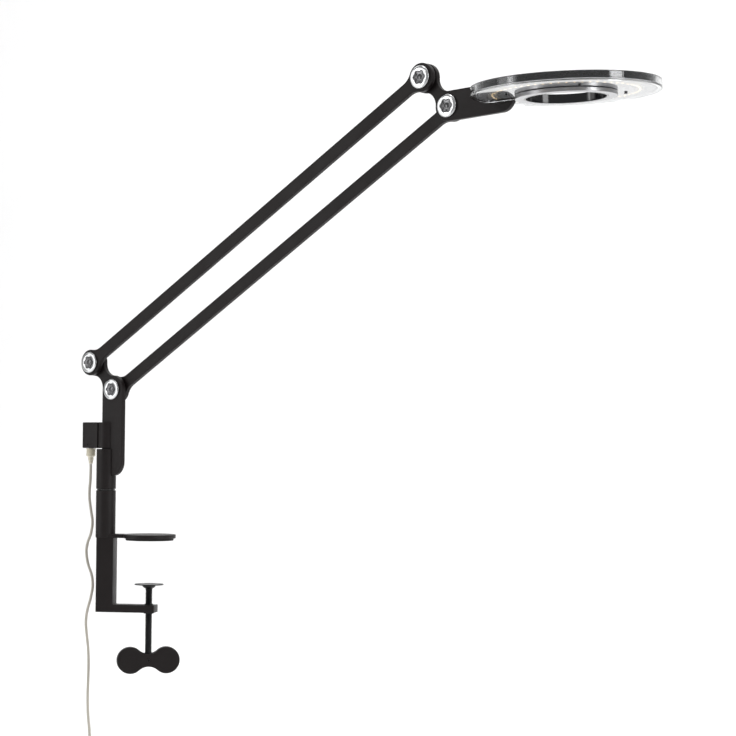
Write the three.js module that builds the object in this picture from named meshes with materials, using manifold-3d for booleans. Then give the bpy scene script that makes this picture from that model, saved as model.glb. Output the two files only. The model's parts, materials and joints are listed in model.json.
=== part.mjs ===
// Architect desk lamp: a ring head on a two-bar levelling arm, swivelling on a screw clamp.
//
// Millimetres, +Z up. The origin is the centre of the upper jaw's desk face, +X runs from the
// post out along the jaws. The arm group is turned about the post; inside it +X runs from the
// post to the head, and the pivots turn about Y.
import * as THREE from 'three';
import { mergeVertices } from 'three/addons/utils/BufferGeometryUtils.js';
import Module from 'manifold-3d';

const wasm = await Module();
wasm.setup();

// ---------------------------------------------------------------- driving dimensions
const SEAT = 0.3;             // gap left between faces that seat on each other
const RUNNING = 0.3;          // radial clearance of a shaft that turns in a bore
const EDGE = 0.4;             // chamfer on small turned pieces
const CHAMFER = 0.8;          // chamfer on larger turned pieces
const THROUGH = 1;            // how far a cut runs past the faces that it opens

// Clamp
const REACH = 55.2;           // post axis to screw axis
const POST_D = 24;
const SPINE_W = 21.2;         // C spine, along X
const SPINE_D = 20;           // C spine and lower jaw, along Y
const SPINE_FACE = 12.4;      // inner face of the spine, from the post axis
const JAW_T = 4.7;            // upper jaw plate
const JAW_R = 31.7;
const PAD_T = 2.2;
const PAD_INSET = 2.7;
const JAW_GAP = 78;           // desk face to lower jaw
const LOWER_JAW_T = 9.3;
const LOWER_JAW_END = 8.8;    // lower jaw past the screw axis
const GROOVE_Z = 60.8;        // swivel joint above the desk face

// Clamp screw
const SCREW_D = 8.6;
const SCREW_SHOULDER = 1.4;   // step down to the neck and the knob's spigot
const INSERT_FLANGE = 1.9;    // thread insert's flange past the screw's radius
const INSERT_BARREL = 0.9;    // thread insert's barrel past the screw's radius
const INSERT_PROUD = 1.2;
const PLATE_R = 17.5;
const PLATE_T = 1.5;
const PLATE_HUB_R = 7.8;
const PLATE_HUB_H = 4.2;
const OPEN_GAP = 52.7;        // desk face to pressure plate as built
const KNOB_LOBE_R = 16.2;
const KNOB_LOBE_X = 21.9;
const KNOB_WAIST = 15.8;
const KNOB_T = 11;
const KNOB_Z = -144.8;
const KNOB_TURN = 22;         // degrees about the screw as built
const KNOB_PIN_D = 3;

// Swivel
const PIN_D = 13;             // steel swivel pin
const PIN_DOWN = 24;
const PIN_UP = 15;
const BUSH_WALL = 1.8;
const WASHER_T = 1;
const GROOVE_DEPTH = 1;       // washer's edge inside the post's surface
const BARREL_H = 49.5;
const ARM_TURN = -30;         // degrees about the post as built

// Arm linkage
const BAR_LENGTH = 584;       // pivot to pivot
const BAR_H = 14.5;
const BAR_T = 6;
const BOSS_R = 15.7;
const BAR_FLARE = 20;         // fillet from bar to boss
const ARM_LIFT = 30.86;       // degrees above level as built
const LINK = new THREE.Vector2(-30.65, 32.92); // lower pivot to upper pivot
const PLATE_THK = 6.2;        // base plate and head bracket
const BASE_PIVOT = new THREE.Vector2(11.6, 122.13);
const BASE_HALF_W = 16.9;
const BASE_END = 88.2;        // lower pivot down to the centre of the round end
const LOBE_R = 16;
const NECK_FILLET = 15;
const FRICTION_T = 1.2;       // friction washers between the layers

// Pivot hardware
const HEAD_SCREW_R = 12.45;
const HEAD_SCREW_T = 3;
const SHAFT_R = 4;
const SOCKET_R = 6.6;
const SOCKET_DEPTH = 1.2;
const SLEEVE_WALL = 1.4;
const WASHER_R = 13.6;
const NUT_R = 8.6;
const NUT_T = 3.6;
const NUT_CROWN = 1;          // metal over the blind end of the nut
const NUT_DOME = 0.4;
const NUT_CHAMFER = 1.2;
const SOCKET_CHAMFER = 1.2;   // width of the screw's countersink

// Power block
const BLOCK = { left: -34, right: -8, half: 8, bottom: 50.4, top: 82 };
const COLLAR_R = 10;
const BLOCK_WALL = 1.8;
const BLOCK_END_WALL = 3.5;
const BRIDGE_INSET = 1.2;     // web between block and collar, set in from the block's faces
const COVER_T = 1.5;
const JACK_X = -26.9;
const JACK = { w: 8.4, d: 9, h: 13, bore: 3.05, depth: 10, pin: 1, pinInset: 2, neck: 3.5 };
const PLUG = {
  sleeve: 2.75, sleeveBore: 1.35, reach: 8.6, body: 5.9, tail: 2.5, length: 19, taper: 11,
};

// Cord
const CORD_D = 3.4;
const COIL_TURN_R = 19.5;     // mean radius of the turns
const COIL_ROWS = 4;
const COIL_COLUMNS = 3;
const COIL_CENTRE = new THREE.Vector3(-27, 0, -340);
const ADAPTER = { w: 42, d: 27, h: 62, edge: 3, relief: 14, reliefR: 4.2, reliefBase: 2 };
const BLADE = { w: 6.3, t: 1.5, h: 17, spacing: 12.7, down: 26 };

// Head
const BRACKET_R = 16.25;      // half height of the bracket
const BRACKET_REACH = 69.07;  // lower head pivot to hinge pin
const BRACKET_PITCH = 2.6;    // degrees
const HEAD_PITCH = 0.75;      // degrees, tilt hinge as built
const HEAD_ROLL = 2.87;       // degrees, the ring's lean across the arm
const RING_OFFSET = 79.4;     // hinge pin to ring centre
const RING_R = 98.7;
const RING_T = 9.9;
const RIM_WALL = 5.9;
const LENS_T = 1.8;
const HOUSING_T = 6.7;
const HOLE_R = 41.7;
const HOLE_WALL = 1.5;
const HUB_R = 53;
const HUB_DROP = 4.6;         // hub below the lens
const DISH_Z = 0.1;           // housing top at the hole, from the ring's mid plane
const LAND = 8;               // flat land round the housing's top
const LED_R = 76;
const LED_BAND = 9.4;
const TRAY_T = 0.8;
const SLOT_CLEAR = 1.3;       // bracket to slot wall, each side
const HINGE = { pin: 2, block: 9, width: 8.4, cover: 1.3, washer: 5.2, washerT: 0.7 };
const HUB_SCREWS = { ring: 63, count: 4, r: 1.9, head: 0.9, shank: 1, grip: 0.8, first: 45 };
const DIMMER = { angle: 3, ring: 62, w: 9, d: 11, t: 0.9 };

const RING_STEPS = 40;
const PLATE_STEPS = 28;
const ROUND_STEPS = 16;
const SMALL_STEPS = 10;

// ---------------------------------------------------------------- materials
const finish = (color, roughness, metalness, extra = {}) =>
  new THREE.MeshStandardMaterial({ color, roughness, metalness, ...extra });

const FINISH = {
  blackCoat: () => finish(0x2b2827, 0.5, 0.3),
  chrome: () => finish(0xe8e9ea, 0.08, 1),
  steel: () => finish(0x9a9da0, 0.35, 1),
  blackOxide: () => finish(0x1b1b1c, 0.35, 0.8),
  rubber: () => finish(0x171717, 0.85, 0),
  nylon: () => finish(0xd9d5c8, 0.5, 0),
  brass: () => finish(0xb08d4a, 0.35, 1),
  blackGloss: () => finish(0x121214, 0.12, 0),
  clear: () => finish(0xf2f6f7, 0.05, 0, { transparent: true, opacity: 0.35 }),
  white: () => finish(0xf3f2ee, 0.3, 0),
  satinAlu: () => finish(0xb6b7b9, 0.28, 1),
  circuit: () => finish(0xe9e6da, 0.45, 0),
  ivory: () => finish(0xe7e0cd, 0.35, 0),
  cord: () => finish(0xcfccc4, 0.45, 0),
};

// ---------------------------------------------------------------- geometry helpers
const rad = THREE.MathUtils.degToRad;

/** Position-only copy with shared vertices merged, no empty triangles and faces outward. */
function tidy(source) {
  let geometry = source.index ? source.toNonIndexed() : source.clone();
  geometry.deleteAttribute('normal');
  geometry.deleteAttribute('uv');
  geometry = mergeVertices(geometry, 1e-4);
  const index = geometry.index.array;
  const position = geometry.attributes.position;
  const [a, b, c] = [new THREE.Vector3(), new THREE.Vector3(), new THREE.Vector3()];
  const kept = [];
  let volume = 0;
  for (let i = 0; i < index.length; i += 3) {
    const [p, q, r] = [index[i], index[i + 1], index[i + 2]];
    if (p === q || q === r || r === p) continue;
    kept.push([p, q, r]);
    a.fromBufferAttribute(position, p);
    b.fromBufferAttribute(position, q);
    c.fromBufferAttribute(position, r);
    volume += a.dot(b.cross(c));
  }
  geometry.setIndex(kept.flatMap(([p, q, r]) => (volume < 0 ? [p, r, q] : [p, q, r])));
  return geometry;
}

function toSolid(geometry) {
  const clean = tidy(geometry);
  return new wasm.Manifold(new wasm.Mesh({
    numProp: 3,
    vertProperties: new Float32Array(clean.attributes.position.array),
    triVerts: new Uint32Array(clean.index.array),
  }));
}

function fromSolid(solid) {
  const mesh = solid.getMesh();
  const geometry = new THREE.BufferGeometry();
  geometry.setAttribute('position', new THREE.BufferAttribute(mesh.vertProperties, 3));
  geometry.setIndex(new THREE.BufferAttribute(mesh.triVerts, 1));
  return geometry;
}

/** The first shape with the added ones joined on and the cuts taken away. */
function carve(base, { add = [], cut = [] }) {
  let solid = toSolid(base);
  for (const geometry of add) solid = solid.add(toSolid(geometry));
  for (const geometry of cut) solid = solid.subtract(toSolid(geometry));
  return fromSolid(solid);
}

/** Profile of [radius, height] points turned about Z. */
const turnZ = (profile, steps = ROUND_STEPS) => turnY(profile, steps).rotateX(Math.PI / 2);

/** Profile of [radius, height] points turned about Y. */
const turnY = (profile, steps = ROUND_STEPS) =>
  new THREE.LatheGeometry(profile.map(([r, h]) => new THREE.Vector2(r, h)), steps);

/** Ring of rectangular section about Z. */
const ringZ = (inner, outer, low, high, steps = ROUND_STEPS) =>
  turnZ([[inner, low], [outer, low], [outer, high], [inner, high], [inner, low]], steps);

/** Solid cylinder about Z or about Y, from low to high. */
const rodZ = (r, low, high, steps = ROUND_STEPS) =>
  turnZ([[0, low], [r, low], [r, high], [0, high]], steps);
const rodY = (r, low, high, steps = ROUND_STEPS) =>
  turnY([[0, low], [r, low], [r, high], [0, high]], steps);

/** Box between two corners. */
function block([x0, y0, z0], [x1, y1, z1]) {
  const geometry = new THREE.BoxGeometry(x1 - x0, y1 - y0, z1 - z0);
  return geometry.translate((x0 + x1) / 2, (y0 + y1) / 2, (z0 + z1) / 2);
}

/** Outline in the XZ plane, extruded from y = front to y = back. */
function slab(points, front, back) {
  const shape = new THREE.Shape(points);
  const options = { depth: back - front, bevelEnabled: false };
  return new THREE.ExtrudeGeometry(shape, options).rotateX(Math.PI / 2).translate(0, back, 0);
}

/** Points of an arc about a centre, between two angles in radians. */
function arc(centre, r, from, to, steps = 12) {
  return Array.from({ length: steps + 1 }, (_, i) => {
    const angle = from + (to - from) * i / steps;
    return new THREE.Vector2(centre.x + r * Math.cos(angle), centre.y + r * Math.sin(angle));
  });
}

/** Outline with two round ends of one radius. */
function stadium(a, b, r) {
  const along = Math.atan2(b.y - a.y, b.x - a.x);
  return [
    ...arc(b, r, along - Math.PI / 2, along + Math.PI / 2),
    ...arc(a, r, along + Math.PI / 2, along + Math.PI * 1.5),
  ];
}

/** Two discs joined by a neck whose sides are arcs of one fillet radius, tangent to both. */
function dogbone(a, ra, b, rb, fillet) {
  const span = a.distanceTo(b);
  const along = Math.atan2(b.y - a.y, b.x - a.x);
  const [da, db] = [ra + fillet, rb + fillet];
  const atA = Math.acos((da * da - db * db + span * span) / (2 * span * da));
  const atB = Math.acos((db * db - da * da + span * span) / (2 * span * db));
  const side = (sign) => new THREE.Vector2(
    a.x + da * Math.cos(along + sign * atA),
    a.y + da * Math.sin(along + sign * atA),
  );
  const half = Math.PI;
  return [
    ...arc(a, ra, along + atA, along + 2 * half - atA, 16),
    ...arc(side(-1), fillet, along - atA + half, along + atB, 8).slice(1),
    ...arc(b, rb, along + atB - half, along + half - atB, 16).slice(1),
    ...arc(side(1), fillet, along - atB, along + atA - half, 8).slice(1, -1),
  ];
}

/** Flat bar with a round boss at each end, fillets between them, along +X from the origin. */
function barOutline(length, half, boss, flare) {
  const reach = Math.sqrt((boss + flare) ** 2 - (half + flare) ** 2);
  const tilt = Math.atan2(half + flare, reach);
  const corner = (x, sign) => new THREE.Vector2(x, sign * (half + flare));
  const [start, end] = [new THREE.Vector2(0, 0), new THREE.Vector2(length, 0)];
  return [
    ...arc(start, boss, tilt, 2 * Math.PI - tilt, 20),
    ...arc(corner(reach, -1), flare, Math.PI - tilt, Math.PI / 2, 5).slice(1),
    ...arc(corner(length - reach, -1), flare, Math.PI / 2, tilt, 5),
    ...arc(end, boss, tilt - Math.PI, Math.PI - tilt, 20).slice(1),
    ...arc(corner(length - reach, 1), flare, -tilt, -Math.PI / 2, 5).slice(1),
    ...arc(corner(reach, 1), flare, -Math.PI / 2, tilt - Math.PI, 5).slice(0, -1),
  ];
}

function node(name, geometry, material) {
  const mesh = new THREE.Mesh(tidy(geometry), material);
  mesh.name = name;
  return mesh;
}

// ---------------------------------------------------------------- clamp
const POST_X = -REACH;
const SPINE_X = POST_X + SPINE_FACE;
const JAW_LOW = PAD_T + SEAT;
const JAW_TOP = JAW_LOW + JAW_T;
const LOWER_JAW_TOP = -JAW_GAP;
const LOWER_JAW_LOW = LOWER_JAW_TOP - LOWER_JAW_T;
const POST_TOP = GROOVE_Z - WASHER_T / 2 - SEAT;
const SCREW_R = SCREW_D / 2;
const INSERT_R = SCREW_R + INSERT_FLANGE;
const INSERT_BARREL_R = SCREW_R + INSERT_BARREL;
const PIN_R = PIN_D / 2;

function clampFrame() {
  const spine = block([SPINE_X - SPINE_W, -SPINE_D / 2, LOWER_JAW_LOW],
    [SPINE_X, SPINE_D / 2, JAW_TOP]);
  const lowerJaw = block([SPINE_X - THROUGH, -SPINE_D / 2, LOWER_JAW_LOW],
    [LOWER_JAW_END, SPINE_D / 2, LOWER_JAW_TOP]);
  const neck = block([SPINE_X - THROUGH, -SPINE_D / 2, JAW_LOW], [0, SPINE_D / 2, JAW_TOP]);
  const disc = rodZ(JAW_R, JAW_LOW, JAW_TOP, RING_STEPS);
  const post = rodZ(POST_D / 2, JAW_LOW, POST_TOP, RING_STEPS).translate(POST_X, 0, 0);
  const bore = rodZ(PIN_R + SEAT, GROOVE_Z - PIN_DOWN - SEAT, POST_TOP + THROUGH);
  const insertBore = rodZ(INSERT_BARREL_R + SEAT, LOWER_JAW_LOW - THROUGH, LOWER_JAW_TOP + THROUGH);
  const insertSeat = rodZ(INSERT_R + SEAT, LOWER_JAW_LOW - THROUGH, LOWER_JAW_LOW + INSERT_PROUD);
  return carve(spine, {
    add: [lowerJaw, neck, disc, post],
    cut: [bore.translate(POST_X, 0, 0), insertBore, insertSeat],
  });
}

/** Bush pressed up through the lower jaw, with a flange below it and a rolled lip above. */
function threadInsert() {
  const bore = SCREW_R + RUNNING;
  const barrel = INSERT_BARREL_R;
  const low = LOWER_JAW_LOW - INSERT_PROUD;
  const flange = LOWER_JAW_LOW + INSERT_PROUD - SEAT;
  const high = LOWER_JAW_TOP + INSERT_PROUD;
  return turnZ([
    [bore, low], [INSERT_R - EDGE, low], [INSERT_R, low + EDGE], [INSERT_R, flange],
    [barrel, flange], [barrel, high - EDGE], [(bore + barrel) / 2, high], [bore, high], [bore, low],
  ]);
}

const upperJawPad = () => rodZ(JAW_R - PAD_INSET, 0, PAD_T, RING_STEPS);

const clampGroup = new THREE.Group();
clampGroup.add(
  node('clamp_frame', clampFrame(), FINISH.blackCoat()),
  node('upper_jaw_pad', upperJawPad(), FINISH.rubber()),
  node('thread_insert', threadInsert(), FINISH.blackOxide()),
);

// ---------------------------------------------------------------- clamp screw
const PLATE_TOP = -OPEN_GAP;
const PLATE_SKIRT = PLATE_TOP - PLATE_T - PLATE_HUB_H;
const NECK_R = SCREW_R - SCREW_SHOULDER;
const RIVET = { overhang: 0.7, t: 1.1, below: 0.2 }; // spun head, just under the plate's face
const RIVET_R = SCREW_R + RIVET.overhang;
const RIVET_TOP = PLATE_TOP - RIVET.below;

/**
 * Threaded rod with both ends turned down: a neck that carries the pressure plate under a spun
 * head, and a spigot that the knob is pinned to.
 */
function clampScrew() {
  const neckTop = RIVET_TOP - RIVET.t;
  const neckLow = PLATE_SKIRT - SEAT;
  const shoulder = KNOB_Z + KNOB_WAIST / 2 + SEAT;
  const tip = KNOB_Z - KNOB_WAIST / 2 + SEAT;
  return turnZ([
    [0, RIVET_TOP], [RIVET_R - EDGE, RIVET_TOP], [RIVET_R, RIVET_TOP - EDGE], [RIVET_R, neckTop],
    [NECK_R, neckTop], [NECK_R, neckLow], [SCREW_R - EDGE, neckLow], [SCREW_R, neckLow - EDGE],
    [SCREW_R, shoulder], [NECK_R, shoulder], [NECK_R, tip + EDGE], [NECK_R - EDGE, tip], [0, tip],
  ]);
}

/** Round plate with a hollow conical hub, recessed on top for the screw's spun head. */
function pressurePlate() {
  const hole = NECK_R + RUNNING;
  const recess = RIVET_R + RUNNING;
  const floor = RIVET_TOP - RIVET.t - SEAT;
  return turnZ([
    [hole, floor], [recess, floor], [recess, PLATE_TOP], [PLATE_R - EDGE, PLATE_TOP],
    [PLATE_R, PLATE_TOP - EDGE], [PLATE_R, PLATE_TOP - PLATE_T + EDGE],
    [PLATE_HUB_R + CHAMFER, PLATE_TOP - PLATE_T], [PLATE_HUB_R, PLATE_TOP - PLATE_T - CHAMFER],
    [SCREW_R + EDGE, PLATE_SKIRT], [hole, PLATE_SKIRT], [hole, floor],
  ], PLATE_STEPS);
}

/** Figure-of-eight thumb knob with a flat for the screw's shoulder, cross-drilled for its pin. */
function wingKnob() {
  const [left, right] = [new THREE.Vector2(-KNOB_LOBE_X, 0), new THREE.Vector2(KNOB_LOBE_X, 0)];
  // The neck fillet that leaves exactly the waist between two lobes of this radius.
  const [half, waist] = [KNOB_LOBE_X, KNOB_WAIST / 2];
  const fillet = (half ** 2 + waist ** 2 - KNOB_LOBE_R ** 2) / (2 * (KNOB_LOBE_R - waist));
  const body = slab(dogbone(left, KNOB_LOBE_R, right, KNOB_LOBE_R, fillet), -KNOB_T / 2, KNOB_T / 2);
  const bore = rodZ(NECK_R + SEAT, -waist - THROUGH, KNOB_LOBE_R);
  const flat = block([-SCREW_R - SEAT, -KNOB_T, waist], [SCREW_R + SEAT, KNOB_T, KNOB_LOBE_R]);
  const pinHole = rodY(KNOB_PIN_D / 2 + SEAT, -KNOB_T, KNOB_T, SMALL_STEPS);
  return carve(body, { cut: [bore, flat, pinHole] });
}

const knobPin = () => rodY(KNOB_PIN_D / 2, -KNOB_T / 2 + SEAT, -NECK_R - SEAT, SMALL_STEPS);

const screwGroup = new THREE.Group();
screwGroup.add(
  node('pressure_plate', pressurePlate(), FINISH.blackOxide()),
  node('clamp_screw', clampScrew(), FINISH.blackOxide()),
);
const knobGroup = new THREE.Group();
knobGroup.position.z = KNOB_Z;
knobGroup.rotation.z = rad(KNOB_TURN);
knobGroup.add(
  node('wing_knob', wingKnob(), FINISH.blackCoat()),
  node('knob_set_pin', knobPin(), FINISH.steel()),
);
screwGroup.add(knobGroup);

// ---------------------------------------------------------------- swivel
// From here the frame is the arm's: origin on the post axis at the swivel joint.
const BARREL_LOW = WASHER_T / 2 + SEAT;
const PLATE_HALF = PLATE_THK / 2;
const baseEnd = new THREE.Vector2(BASE_PIVOT.x, BASE_PIVOT.y - BASE_END);
const baseUpper = BASE_PIVOT.clone().add(LINK);
const BARREL_SCREWS = [31, 43];
const BARREL_SCREW = { x: 2.5, r: 2, head: 3.4, seat: POST_D / 2 - 3, headT: 1.8, tip: -1.4 };

const swivelPin = () => turnZ([
  [0, -PIN_DOWN], [PIN_R - CHAMFER, -PIN_DOWN], [PIN_R, -PIN_DOWN + CHAMFER],
  [PIN_R, PIN_UP - CHAMFER], [PIN_R - CHAMFER, PIN_UP], [0, PIN_UP],
]);

const swivelWasher = () =>
  ringZ(PIN_R + SEAT, POST_D / 2 - GROOVE_DEPTH, -WASHER_T / 2, WASHER_T / 2);

const swivelBush = () =>
  ringZ(PIN_R + RUNNING, PIN_R + RUNNING + BUSH_WALL, BARREL_LOW, PIN_UP);

const screwHoleY = (x, z, r, from, to) => rodY(r, from, to, SMALL_STEPS).translate(x, 0, z);

function swivelBarrel() {
  const bushR = PIN_R + RUNNING + BUSH_WALL + SEAT;
  const slot = slab(stadium(new THREE.Vector2(baseEnd.x, BARREL_H * 2), baseEnd, BASE_HALF_W + SEAT),
    -PLATE_HALF - SEAT, PLATE_HALF + SEAT);
  const { x, r, head, seat } = BARREL_SCREW;
  const holes = BARREL_SCREWS.flatMap((z) => [
    screwHoleY(x, z, r + SEAT, 0, POST_D),
    screwHoleY(x, z, head + SEAT, seat, POST_D),
  ]);
  return carve(rodZ(POST_D / 2, BARREL_LOW, BARREL_H, RING_STEPS), {
    cut: [slot, rodZ(bushR, BARREL_LOW - THROUGH, PIN_UP + SEAT), ...holes],
  });
}

function barrelScrew(z) {
  const { x, r, head, seat, headT, tip } = BARREL_SCREW;
  const low = seat + SEAT;
  return turnY([
    [0, tip], [r, tip], [r, low], [head, low], [head, low + headT - EDGE],
    [head - CHAMFER, low + headT], [0, low + headT],
  ], SMALL_STEPS).translate(x, 0, z);
}

/** Stadium plate with a lobe for the second pivot, drilled for both pivots. */
function lobedPlate(pivot, end, half, lobe, extraCuts = []) {
  const main = slab(stadium(pivot, end, half), -PLATE_HALF, PLATE_HALF);
  const arm = slab(dogbone(pivot, half, lobe, LOBE_R, NECK_FILLET), -PLATE_HALF, PLATE_HALF);
  const hole = SHAFT_R + SLEEVE_WALL + 2 * SEAT;
  return carve(main, {
    add: [arm],
    cut: [
      screwHoleY(pivot.x, pivot.y, hole, -PLATE_THK, PLATE_THK),
      screwHoleY(lobe.x, lobe.y, hole, -PLATE_THK, PLATE_THK),
      ...extraCuts,
    ],
  });
}

function basePlate() {
  const { x, r } = BARREL_SCREW;
  const tapped = BARREL_SCREWS.map((z) => screwHoleY(x, z, r + SEAT, -2, PLATE_THK));
  return lobedPlate(BASE_PIVOT, baseEnd, BASE_HALF_W, baseUpper, tapped);
}

const swivelGroup = new THREE.Group();
swivelGroup.position.set(POST_X, 0, GROOVE_Z);
swivelGroup.rotation.z = rad(ARM_TURN);
swivelGroup.add(
  node('swivel_pin', swivelPin(), FINISH.steel()),
  node('swivel_washer', swivelWasher(), FINISH.nylon()),
  node('swivel_bush', swivelBush(), FINISH.brass()),
  node('swivel_barrel', swivelBarrel(), FINISH.blackCoat()),
  node('base_plate', basePlate(), FINISH.blackCoat()),
  ...BARREL_SCREWS.map((z, i) => node(`barrel_screw_${i + 1}`, barrelScrew(z), FINISH.blackOxide())),
);

// ---------------------------------------------------------------- power block
const COVER_FRONT = BLOCK.half - COVER_T;
const COVER_SCREW = { x: -17, r: 1, head: 1.9, headT: 0.9, reach: 6 };
const coverScrewHeights = [BLOCK.bottom + BLOCK_END_WALL / 2, BLOCK.top - BLOCK_END_WALL / 2];
const PLUG_TOP = BLOCK.bottom - SEAT;
const PLUG_LOW = PLUG_TOP - PLUG.length;

function powerHousing() {
  const { left, right, half, bottom, top } = BLOCK;
  const collar = rodZ(COLLAR_R, bottom, top, RING_STEPS);
  const bridge = block([right - THROUGH, BRIDGE_INSET - half, bottom],
    [0, COVER_FRONT - SEAT - BRIDGE_INSET, top]);
  const plateSlot = block([BASE_PIVOT.x - BASE_HALF_W - SEAT, -PLATE_HALF - SEAT, bottom - THROUGH],
    [COLLAR_R + THROUGH, PLATE_HALF + SEAT, top + THROUGH]);
  const cavity = block([left + BLOCK_WALL, -half + BLOCK_WALL, bottom + BLOCK_END_WALL],
    [right - BLOCK_WALL, half, top - BLOCK_END_WALL]);
  const jackHole = rodZ(JACK.neck + SEAT, bottom - THROUGH, bottom + BLOCK_END_WALL + THROUGH);
  const screwHoles = coverScrewHeights.map((z) =>
    screwHoleY(COVER_SCREW.x, z, COVER_SCREW.r + SEAT, COVER_FRONT - COVER_SCREW.reach - SEAT, half));
  return carve(block([left, -half, bottom], [right, COVER_FRONT - SEAT, top]), {
    add: [collar, bridge],
    cut: [plateSlot, cavity, jackHole.translate(JACK_X, 0, 0), ...screwHoles],
  });
}

function powerCover() {
  const { left, right, half, bottom, top } = BLOCK;
  const holes = coverScrewHeights.map((z) =>
    screwHoleY(COVER_SCREW.x, z, COVER_SCREW.r + SEAT, 0, 2 * half));
  return carve(block([left, COVER_FRONT, bottom], [right, half, top]), { cut: holes });
}

function coverScrew(z) {
  const { x, r, head, headT, reach } = COVER_SCREW;
  const seat = BLOCK.half + SEAT;
  return turnY([
    [0, COVER_FRONT - reach], [r, COVER_FRONT - reach], [r, seat], [head, seat],
    [head, seat + headT - EDGE], [head - EDGE, seat + headT], [0, seat + headT],
  ], SMALL_STEPS).translate(x, 0, z);
}

/** Socket body with a blind bore, its contact pin standing in it and a neck through the wall. */
function jackSocket() {
  const bodyLow = BLOCK.bottom + BLOCK_END_WALL + SEAT;
  const bodyTop = bodyLow + JACK.h;
  const boreTop = BLOCK.bottom + JACK.depth;
  const body = block([-JACK.w / 2, -JACK.d / 2, bodyLow], [JACK.w / 2, JACK.d / 2, bodyTop]);
  return carve(body, {
    add: [rodZ(JACK.neck, BLOCK.bottom + SEAT, bodyLow + THROUGH)],
    cut: [
      ringZ(JACK.pin, JACK.bore, BLOCK.bottom - THROUGH, boreTop),
      rodZ(JACK.bore, BLOCK.bottom - THROUGH, BLOCK.bottom + JACK.pinInset),
    ],
  }).translate(JACK_X, 0, 0);
}

/** Moulded plug: a hollow metal sleeve above a body that tapers down to the cord. */
function dcPlug() {
  const { sleeve, sleeveBore, reach, body, tail, taper } = PLUG;
  return turnZ([
    [0, PLUG_TOP + THROUGH], [sleeveBore, PLUG_TOP + THROUGH], [sleeveBore, PLUG_TOP + reach],
    [sleeve, PLUG_TOP + reach], [sleeve, PLUG_TOP], [body - EDGE, PLUG_TOP], [body, PLUG_TOP - EDGE],
    [body, PLUG_LOW + taper], [tail, PLUG_LOW], [0, PLUG_LOW],
  ]).translate(JACK_X, 0, 0);
}

swivelGroup.add(
  node('power_housing', powerHousing(), FINISH.blackCoat()),
  node('power_cover', powerCover(), FINISH.blackCoat()),
  ...coverScrewHeights.map((z, i) => node(`cover_screw_${i + 1}`, coverScrew(z), FINISH.blackOxide())),
  node('jack_socket', jackSocket(), FINISH.rubber()),
  node('dc_plug', dcPlug(), FINISH.ivory()),
);

// ---------------------------------------------------------------- cord
const COIL_OUT = COIL_TURN_R + (COIL_ROWS / 2) * CORD_D;
const COIL_IN = COIL_TURN_R - (COIL_ROWS / 2) * CORD_D;
const COIL_HALF = (COIL_COLUMNS / 2) * CORD_D;
const TAIL_DROP = 24;         // coil's lowest point to the adapter's strain relief

// Hanging stretch, from the plug's tail to the top of the coil.
const cordRoute = [
  [JACK_X, 0, PLUG_LOW - SEAT], [JACK_X, 0, 22], [-27.6, 0.4, 11], [-29.2, 0.8, 0],
  [-29, 0.8, -12], [-25.4, 0.2, -27], [-22, -0.6, -40], [-24.2, -0.8, -54], [-30.4, -0.2, -66],
  [-33.2, 0.6, -77], [-30.6, 1, -91], [-23.4, 0.6, -105], [-20.6, -0.2, -117],
  [-23, -0.8, -132], [-29.2, -0.6, -149], [-31.8, 0, -163], [-30.6, 0.5, -178],
  [-28, 0.6, -194], [-26.6, 0.3, -212], [-26.6, 0, -232], [-27, -0.1, -254], [-27, 0, -278],
  [-27, 0, COIL_CENTRE.z + COIL_OUT + SEAT],
];

// Short tail, from the foot of the coil to the adapter.
const cordTail = [
  [COIL_CENTRE.x, 0, COIL_CENTRE.z - COIL_OUT - SEAT], [-27.3, 0.2, -376],
  [-27.2, 0.1, -383], [COIL_CENTRE.x, 0, COIL_CENTRE.z - COIL_OUT - TAIL_DROP],
];

function cordTube(points, steps) {
  const r = CORD_D / 2;
  const section = new THREE.Shape(arc(new THREE.Vector2(0, 0), r, 0, Math.PI * 1.75, 7));
  const path = new THREE.CatmullRomCurve3(points.map((p) => new THREE.Vector3(...p)), false,
    'centripetal');
  return new THREE.ExtrudeGeometry(section, { steps, extrudePath: path, bevelEnabled: false });
}

/** Outer shape of the wound turns: a ring that stands upright, its axis along Y. */
function cordCoil() {
  const round = CORD_D / 3;
  return turnY([
    [COIL_IN, -COIL_HALF + round], [COIL_IN + round, -COIL_HALF], [COIL_OUT - round, -COIL_HALF],
    [COIL_OUT, -COIL_HALF + round], [COIL_OUT, COIL_HALF - round], [COIL_OUT - round, COIL_HALF],
    [COIL_IN + round, COIL_HALF], [COIL_IN, COIL_HALF - round], [COIL_IN, -COIL_HALF + round],
  ], ROUND_STEPS).translate(...COIL_CENTRE);
}

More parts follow.
